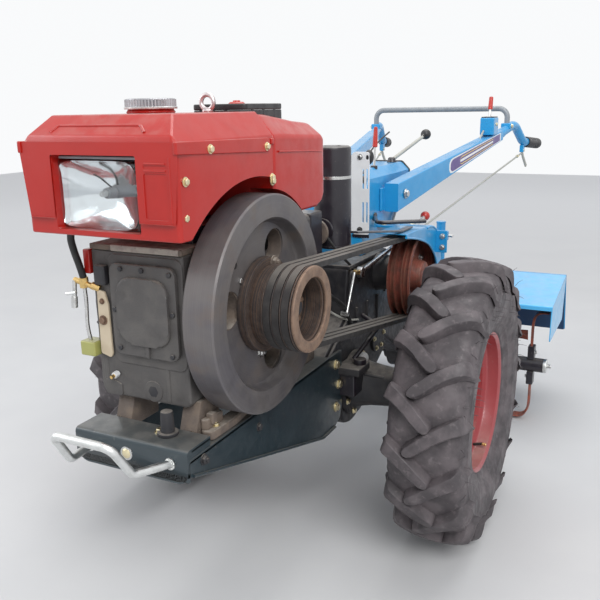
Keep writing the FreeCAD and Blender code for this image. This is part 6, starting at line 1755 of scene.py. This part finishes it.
def small_controls():
    gear = Piece("gear_lever_stick", "chassis", "gear_lever")
    foot, knob = Vector((46, 430, 812)), Vector((92, 596, 882))
    gear.add(lathe([(812, 0), (812, 13), (815, 13), (820, 10.5), (823, 10.5), (826, 7), (826, 0)], foot * 1.0
                   - Z * 812, Z, 32, 0.5), BLACK_METAL)
    gear.add(bar(foot + Z * 6, knob, 5.2, 0.5, 16, 4.6), CABLE_GREY)
    gear.add(ball(knob, 15, (1, 1, 1), 32), BLACK_PLASTIC)
    gear.add(bar(knob - (knob - foot).normalized() * 19, knob - (knob - foot).normalized() * 10, 7, 1, 20),
             BLACK_PLASTIC)
    gear.done()

    side = Piece("side_lever_stick", "chassis", "side_lever")
    foot, knob = Vector((114, 30, 585)), Vector((150, 420, 667))
    side.add(disc((107.2, 30, 585), X, 0, 14, 13, 1.6, 32), STEEL)
    side.add(tube([foot, foot.lerp(knob, 0.5) + Vector((6, 0, -4)), knob], 5.4, 40, 14), STEEL)
    side.add(ball(knob, 13, (1, 1, 1), 28), RED_PLASTIC)
    side.done()

    levers = Piece("steering_clutch_levers", "chassis", "steering_levers")
    low = BEAM_END + (TUBE_END - BEAM_END) * 0.62
    low = Vector((low.x, low.y, TUBE_END.z + 12))
    back = (low - TUBE_END).normalized()
    pivot = TUBE_END + back * 132
    under = pivot.z - 15
    levers.add(block((pivot.x - 7, pivot.y - 12, under - 22), (pivot.x + 7, pivot.y + 12, under + 3), 2, 3),
               BLUE, True)
    hand = Vector((pivot.x + 6, pivot.y + 60, under - 74))
    middle = Vector((pivot.x + 2, pivot.y + 16, under - 40))
    path = bent([Vector((pivot.x, pivot.y - 6, under - 16)), middle, hand], 30, 6)
    levers.add(sweep(path, rounded(rectangle(-6, 6, -3.4, 3.4), 3, 4), up=X), CABLE_GREY, True)
    levers.add(bar((pivot.x - 9, pivot.y, under - 16), (pivot.x + 9, pivot.y, under - 16), 4.2, 0.8, 16), ZINC, True)
    levers.done()

    box = Piece("throttle_switch_box", "chassis", "throttle_box")
    share = (905 - 232) / 753
    x = BEAM_START.x + (BEAM_END.x - BEAM_START.x) * share
    top = BEAM_START.z + (BEAM_END.z - BEAM_START.z) * share + (74 - 42 * share) / 2 + 58
    box.add(block((x - 22.6, 905 - 32.6, top - 58), (x + 22.6, 905 + 32.6, top - 3), 4, 3), BLUE)
    box.add(block((x - 20, 905 - 30, top - 4), (x + 20, 905 + 30, top), 1.6), BLACK_PLASTIC)
    box.add(block((x - 3, 905 - 24, top - 1), (x + 3, 905 + 24, top + 1.2), 0.8), STEEL)
    tip = Vector((x, 917, top + 62))
    base = Vector((x, 905, top - 1))
    box.add(bar(base, base.lerp(tip, 0.55), 4.0, 0.5, 14), STEEL)
    box.add(bar(base.lerp(tip, 0.36), tip, 7.4, 2.8, 20, 6.4), RED_PLASTIC)
    bolt(box, (x + 22.6, 905, top - 24), X, 4.6, ZINC)
    box.done()

    rods = Piece("steering_rods", "chassis", "control_rods")
    top_end = Vector((pivot.x, pivot.y - 8, under - 22 - 3.5))
    foot_end = Vector((95, 236, 606 - 24))
    rods.add(bar(foot_end + (top_end - foot_end).normalized() * 4, top_end, 3.0, 0.4, 12), CABLE_GREY, True)
    run = (top_end - foot_end).normalized()
    rods.add(bar(foot_end, foot_end + run * 60, 3.5, 0.5, 14), STEEL, True)
    rods.add(disc(foot_end + run * 60, run, 0, 12, 6, 1, 6), ZINC, True)
    rods.add(disc(top_end, run, -46, -34, 5.4, 1, 6), ZINC, True)
    rods.done()

    cables = Piece("throttle_cables", "chassis")
    for side in (1, -1):
        if side > 0:
            line = [(x - 10, 872, top - 44), (x - 26, 800, 816), (x - 44, 690, 782), (104, 470, 728),
                    (90, 360, 694), (92, 300, 640)]
        else:
            line = [(-214, 1130, 870), (-206, 1000, 842), (-186, 860, 812), (-146, 620, 758), (-100, 420, 712),
                    (-90, 330, 650)]
        cables.add(hose(line, 3.0, 10, 8), CABLE_GREY if side > 0 else RUBBER)
    cables.add(block((84, 290, 632), (98, 312, 646), 2), BLACK_METAL)
    cables.add(block((-98, 320, 642), (-84, 342, 656), 2), BLACK_METAL)
    for n in range(4):
        share = 0.2 + 0.2 * n
        clip = on_beam(share, -15, -37 + 20 * share)
        cables.add(disc(clip, X, -3, 3, 6, 1, 16), BLACK_METAL)
    cables.done("control_rods")


def belt_guard():
    part = Piece("belt_guard_rolled", "chassis", "belt_guard")
    radius = 122.0
    turns = [98 - 110 * n / 28 for n in range(29)]

    def strip(inner, outer, x0, x1, bevel):
        outline = [on_line(CLUTCH, 0, outer, t) for t in turns] + [on_line(CLUTCH, 0, inner, t) for t in turns[::-1]]
        return prism([(p.y, p.z) for p in outline], "x", x0, x1, bevel, 2)

    part.add(strip(radius + 0.3, radius + 2.8, 161, 236.4, 0.8), BLUE)
    edge = [on_line(CLUTCH, 235.2, radius + 0.2, t) for t in turns]
    part.add(sweep(edge, circle(0, 0, 2.7, 12)), BLUE)
    edge = [on_line(CLUTCH, 162.6, radius + 0.2, t) for t in turns]
    part.add(sweep(edge, circle(0, 0, 2.4, 12)), BLUE)
    # The outer face, whose rolled lower edge hangs in front of the drum's rim
    lower = [(2, 679), (90, 662), (164, 640), (199, 622), (233, 596), (256, 566)]
    upper = [(2, 686), (80, 684), (150, 678)] + [(p.y, p.z) for p in
                                                 (on_line(CLUTCH, 0, radius + 1.5, t) for t in turns[:27])]
    part.add(prism(upper + lower[::-1], "x", 233, 236, 0.6, 1), BLUE)
    part.add(sweep(smooth_line([(235, y, z) for y, z in lower], 5), circle(0, 0, 2.8, 12)), BLUE)
    part.add(prism([(2, 684), (80, 682), (160, 677), (160, 680), (80, 685), (2, 687)], "x", 161, 235, 0.5, 1), BLUE)
    part.add(block((233, 236, 604), (264, 241, 660), 1.6), BLUE)
    for z in (618, 646):
        bolt(part, (252, 236, z), -Y, 5.6, STEEL)
    spot = on_line(CLUTCH, 0, 123.5, 60)
    part.add(block((84.2, spot.y - 20, spot.z - 1), (182, spot.y + 20, spot.z + 5), 1.6), BLUE)
    bolt(part, (172, spot.y, spot.z + 5), Z, 6.5, ZINC)
    bolt(part, (98, spot.y - 8, spot.z + 5), Z, 6.0, ZINC)
    part.done()

    rod = Piece("belt_guard_bar", "chassis", "guard_rod")
    z = CLUTCH.z + 128 + 3 + 5
    points = [(84.4, 200, z), (126, 106, z), (227, 174, z)]
    rod.add(tube(points, 5.0, 18, 16, bevel_steps=8), BLACK_METAL)
    rod.add(disc((84.4, 200, z), X, -0.2, 3, 11, 0.8, 24), BLACK_METAL)
    rod.done()

    flat = Piece("belt_guard_flats", "chassis")
    run = [(213, -250, 730), (213, 20, 690), (213, 92, 689)]
    bar_form = sweep(bent(run, 40, 5), rounded(rectangle(-8, 8, -2.2, 2.2), 1.6, 3), up=Z)
    flat.add(bar_form, BLACK_METAL)
    flat.done("guard_rod")


# Tiller and depth wheel

def tiller():
    case = Piece("tiller_case_casting", "chassis", "tiller_case")
    blade = [(628, 180), (752, 180), (710, 350), (650, 450), (355, 470), (355, 330)]
    blade = rounded(blade, [60, 60, 30, 24, 6, 6], 6)
    case.add(prism(blade, "x", -30, 30, 4, 3), GEAR_CAST)
    inner = rounded([(636, 186), (744, 186), (702, 346), (644, 440), (362, 462), (362, 338)], [54, 54, 26, 20, 6, 6], 6)
    case.add(prism(inner, "x", -36, 36, 5, 3), GEAR_CAST)
    case.add(lathe([(-36, 0), (-36, 61.8), (36, 61.8), (36, 0)], ROTOR, X, 64, 5), GEAR_CAST)
    for side in (1, -1):
        case.add(ring(ROTOR, X * side, 35, 40, 18, 46, 1.4, 48), GEAR_CAST)
        bolt_ring(case, (40 * side, ROTOR.y, ROTOR.z), 36, 6, X * side, 4.6, ZINC)
        for y, z in ((400, 350), (400, 446), (500, 450), (600, 452), (664, 380), (700, 300), (628, 290), (480, 340)):
            bolt(case, (36 * side, y, z), X * side, 5.4, GEAR_CAST, washer=False)
    case.add(block((-70, 235.4, 331), (70, 262, 469), 5, 3), GEAR_CAST)
    case.add(block((-56, 256, 340), (56, 364, 462), 10, 4), GEAR_CAST)
    for x in (-58, 58):
        for z in (346, 400, 454):
            bolt(case, (x, 262, z), Y, 7.5, ZINC, nut=True)
    case.add(block((-478.6, 660.5, 366.4), (478.6, 709.5, 391.6), 3, 3), BLUE)
    case.add(block((-18, 590, 430), (18, 650, 473.6), 3, 3), GEAR_CAST)
    case.done()

    rotor = Piece("rotor_tube", "rotor", "rotor_shaft")
    for side in (1, -1):
        out = X * side
        rotor.add(ring(ROTOR, out, 52, 458, 17, 21.8, 0.6, 40), BLACK_METAL)
        rotor.add(disc(ROTOR, out, 42.2, 52, 39.8, 1.6, 48), BLACK_METAL)
        rotor.add(disc(ROTOR, out, 456, 468, 21.6, 2.4, 40), SILVER)
        rotor.add(disc(ROTOR, out, 466, 479.6, 6, 1.2, 20), STEEL)
        teeth = [(ROTOR.y + r * math.cos(t), ROTOR.z + r * math.sin(t)) for r, t in
                 ((70 if n % 4 < 2 else 61, 2 * math.pi * n / 72) for n in range(72))]
        rotor.add(prism(teeth, "x", min(352 * side, 358 * side), max(352 * side, 358 * side), 0.8, 1), BLACK_METAL)
        rotor.add(disc(ROTOR, out, 346, 364, 30, 2.0, 40), BLACK_METAL)
        bolt_ring(rotor, (52 * side, ROTOR.y, ROTOR.z), 31, 4, out, 4.8, ZINC)
        for n in range(5):
            x = 84 + 84 * n
            for half in (0, 180):
                angle = math.radians(72 * (n + 1) + (36 if side < 0 else 0) + half)
                away = Vector((0, -math.sin(angle), math.cos(angle)))
                base = Vector((side * x, ROTOR.y, ROTOR.z)) + away * 20
                pocket = block((-10, -16, 0), (10, 16, 42), 2.4)
                turn = Matrix.Rotation(angle, 4, "X")
                pocket = moved(pocket, Matrix.Translation(base) @ turn)
                rotor.add(pocket, BLACK_METAL)
    rotor.add(disc(ROTOR, X, -43, 43, 15.8, 0.4, 32), STEEL)
    rotor.done()

    tines = Piece("tiller_tines", "rotor", "tines")
    for side in (1, -1):
        for n in range(5):
            x = side * (84 + 84 * n)
            for half in (0, 180):
                turn_side = side if half == 0 or n == 0 else -side
                angle = 72 * (n + 1) + (36 if side < 0 else 0) + half
                tines.add(tine_form(x, angle, turn_side), TINE_RUST)
                away = Matrix.Rotation(math.radians(angle), 4, "X") @ Vector((0, 0, 31))
                head = Vector((x + 10 * turn_side, ROTOR.y, ROTOR.z)) + away * 1.3
                bolt(tines, head, X * turn_side, 6, STEEL)
    tines.done()


def tine_form(x, degrees, side):
    """A bent tine: a flat stem that sweeps back, and a foot that curls to one side."""
    line = [Vector((0, 0, 24)), Vector((0, 0, 80)), Vector((0, 3, 128)), Vector((6 * side, 7, 156)),
            Vector((22 * side, 9, 168)), Vector((45 * side, 10, 168.6))]
    path = smooth_line(line, 4)
    form = bmesh.new()
    rings = []
    count = len(path)
    for k, place in enumerate(path):
        share = k / (count - 1)
        ahead = (path[min(k + 1, count - 1)] - path[max(k - 1, 0)]).normalized()
        wide = Y
        thick = ahead.cross(wide).normalized()
        half_w = 11 + 12.5 * max(0, share - 0.3)
        half_t = 3.8 - 2.2 * max(0, share - 0.55) / 0.45
        corners = ((-half_w, -half_t), (half_w, -half_t * 0.5), (half_w, half_t * 0.5), (-half_w, half_t))
        rings.append([form.verts.new(place + wide * a + thick * b) for a, b in corners])
    for a, b in zip(rings, rings[1:]):
        for n in range(4):
            m = (n + 1) % 4
            form.faces.new((a[n], a[m], b[m], b[n]))
    form.faces.new(rings[0][::-1])
    form.faces.new(rings[-1])
    soften(form, 0.8, 1, math.radians(60))
    turn = Matrix.Rotation(math.radians(degrees), 4, "X")
    return moved(form, Matrix.Translation((x, ROTOR.y, ROTOR.z)) @ turn)


def tiller_cover():
    part = Piece("tiller_cover_folded", "chassis", "tiller_cover")
    half = 482.0
    # Top sheet with its front lip and rear flap, one folded section with soft bends
    slot = block((-37, 590, 300), (37, 711, 480), 0)
    # The top sheet and its front lip take the lighter blue as painted light; the rear flap keeps the plain blue
    for middle, finish in (([(612, 376.5), (612, 390.5), (892, 428)], LIT_BLUE),
                           ([(884, 427), (896, 428.5), (969, 225)], BLUE)):
        bends = bent([(0, y, z) for y, z in middle], 6, 5)
        upper, lower = [], []
        for n, place in enumerate(bends):
            ahead = (bends[min(n + 1, len(bends) - 1)] - bends[max(n - 1, 0)]).normalized()
            across = Vector((0, -ahead.z, ahead.y))
            upper.append((place.y + across.y * 0.2, place.z + across.z * 0.2))
            lower.append((place.y - across.y * 2.6, place.z - across.z * 2.6))
        sheet = prism(upper + lower[::-1], "x", -half, half, 0)
        part.add(carved(sheet, slot) if finish is LIT_BLUE else sheet, finish)
    # The inner side of the rear flap, in a dark navy copy of the blue paint as painted shade
    inner = [(884, 423.4), (892.8, 424.6), (965.4, 222.6), (964.6, 222.4), (891.6, 423.4), (884, 422.4)]
    part.add(prism(inner, "x", -half + 3.4, half - 3.4, 0), SHADED_NAVY)
    # The end plates, in the lighter blue as painted light
    end = [(612.5, 389), (893, 427), (860, 287), (601, 285)]
    part.add(plate(rounded(end, [3, 6, 10, 8], 4), [], "x", half - 3, half, 0.5), LIT_BLUE, True)
    part.add(bar((-half + 2, 968, 227), (half - 2, 968, 227), 3.0, 0.6, 12), BLUE)
    part.add(tube([(-30, 946, 280), (-30, 960, 300), (30, 960, 300), (30, 946, 280)], 3, 8, 10), STEEL)
    part.done()


def depth_wheel():
    fork = Piece("depth_wheel_fork", "chassis", "tail_fork")
    inside, outside = 37.0, 44.0
    for side in (1, -1):
        shape = rounded([(1100, 92.4), (1140, 92.4), (1140, 256), (1100, 256)], [19.6, 19.6, 2, 2], 8)
        fork.add(prism(shape, "x", min(inside * side, outside * side), max(inside * side, outside * side), 1.4), BLUE)
        bolt(fork, (outside * side, TAIL.y, TAIL.z), X * side, 7.8, ZINC, washer=False)
    fork.add(disc(TAIL, X, -49.6, 49.6, 9.8, 1, 24), STEEL)
    fork.add(block((-44, 1096.4, 250), (44, 1143.6, 260), 2.4, 3), BLUE)
    fork.add(disc((0, 1120, 0), Z, 258, 544.6, 16.8, 1.6, 40), BLUE)
    fork.add(ring((0, 1120, 0), Z, 258, 268, 17, 24, 2, 40), BLUE)
    fork.add(block((-18, 590.4, 474.4), (18, 1092, 508), 3, 3), BLUE)
    fork.add(disc((0, 1120, 0), Z, 474.2, 508, 29.6, 2.5, 48), BLUE)
    fork.add(bar((0, 1091, 491), (0, 1072, 491), 6, 1, 16), STEEL)
    fork.add(bar((22, 1120, 491), (46, 1120, 491), 5, 1, 16), STEEL)
    fork.add(bar((44, 1106, 491), (44, 1134, 491), 4, 1.4, 14), STEEL)
    fork.add(disc((0, 1120, 0), Z, 538, 544.9, 18, 2, 32), BLUE)
    for y in (606, 636):
        bolt(fork, (0, y, 508), Z, 7.5, ZINC, nut=True)
    fork.done()

    wheel = Piece("depth_wheel_solid", "tail_wheel", "tail_wheel")
    profile = [(-31, 92), (-31, 103.4), (-27, 107.4), (-18, 110.4), (-6, 111.8), (6, 111.8), (18, 110.4), (27, 107.4),
               (31, 103.4), (31, 92), (29, 88), (24, 85.6), (-24, 85.6), (-29, 88)]
    wheel.add(lathe(profile, TAIL, X, 72, 0, True), RUBBER)
    for x in (-16, 0, 16):
        wheel.add(ring(TAIL, X, x - 2.0, x + 2.0, 104, 111.9, 0.8, 72), RUBBER)
    rim = [(-25, 85.8), (25, 85.8), (25, 82), (9, 80), (6, 74), (6, 30), (9, 24), (31, 23.6), (31, 10.4), (-31, 10.4),
           (-31, 23.6), (-9, 24), (-6, 30), (-6, 74), (-9, 80), (-25, 82)]
    wheel.add(lathe(rim, TAIL, X, 64, 0, True), RIM_RED)
    for n in range(5):
        spot = on_line(TAIL, 6, 52, 72 * n)
        for side in (1, -1):
            wheel.add(ring(Vector((0, spot.y, spot.z)), X * side, 5, 8.5, 11, 15, 1, 24), RIM_RED)
    wheel.done()


lamp_housing()
headlamp()
fuel_tank()
engine()
engine_extras()
frame_parts()
gearbox()
gearbox_extras()
muffler()
console()
beams()
small_controls()
belt_guard()
tiller()
tiller_cover()
depth_wheel()

bpy.context.scene.view_settings.view_transform = "Standard"


def corners(bounds):
    return [[float(v) for v in corner] for corner in bounds]
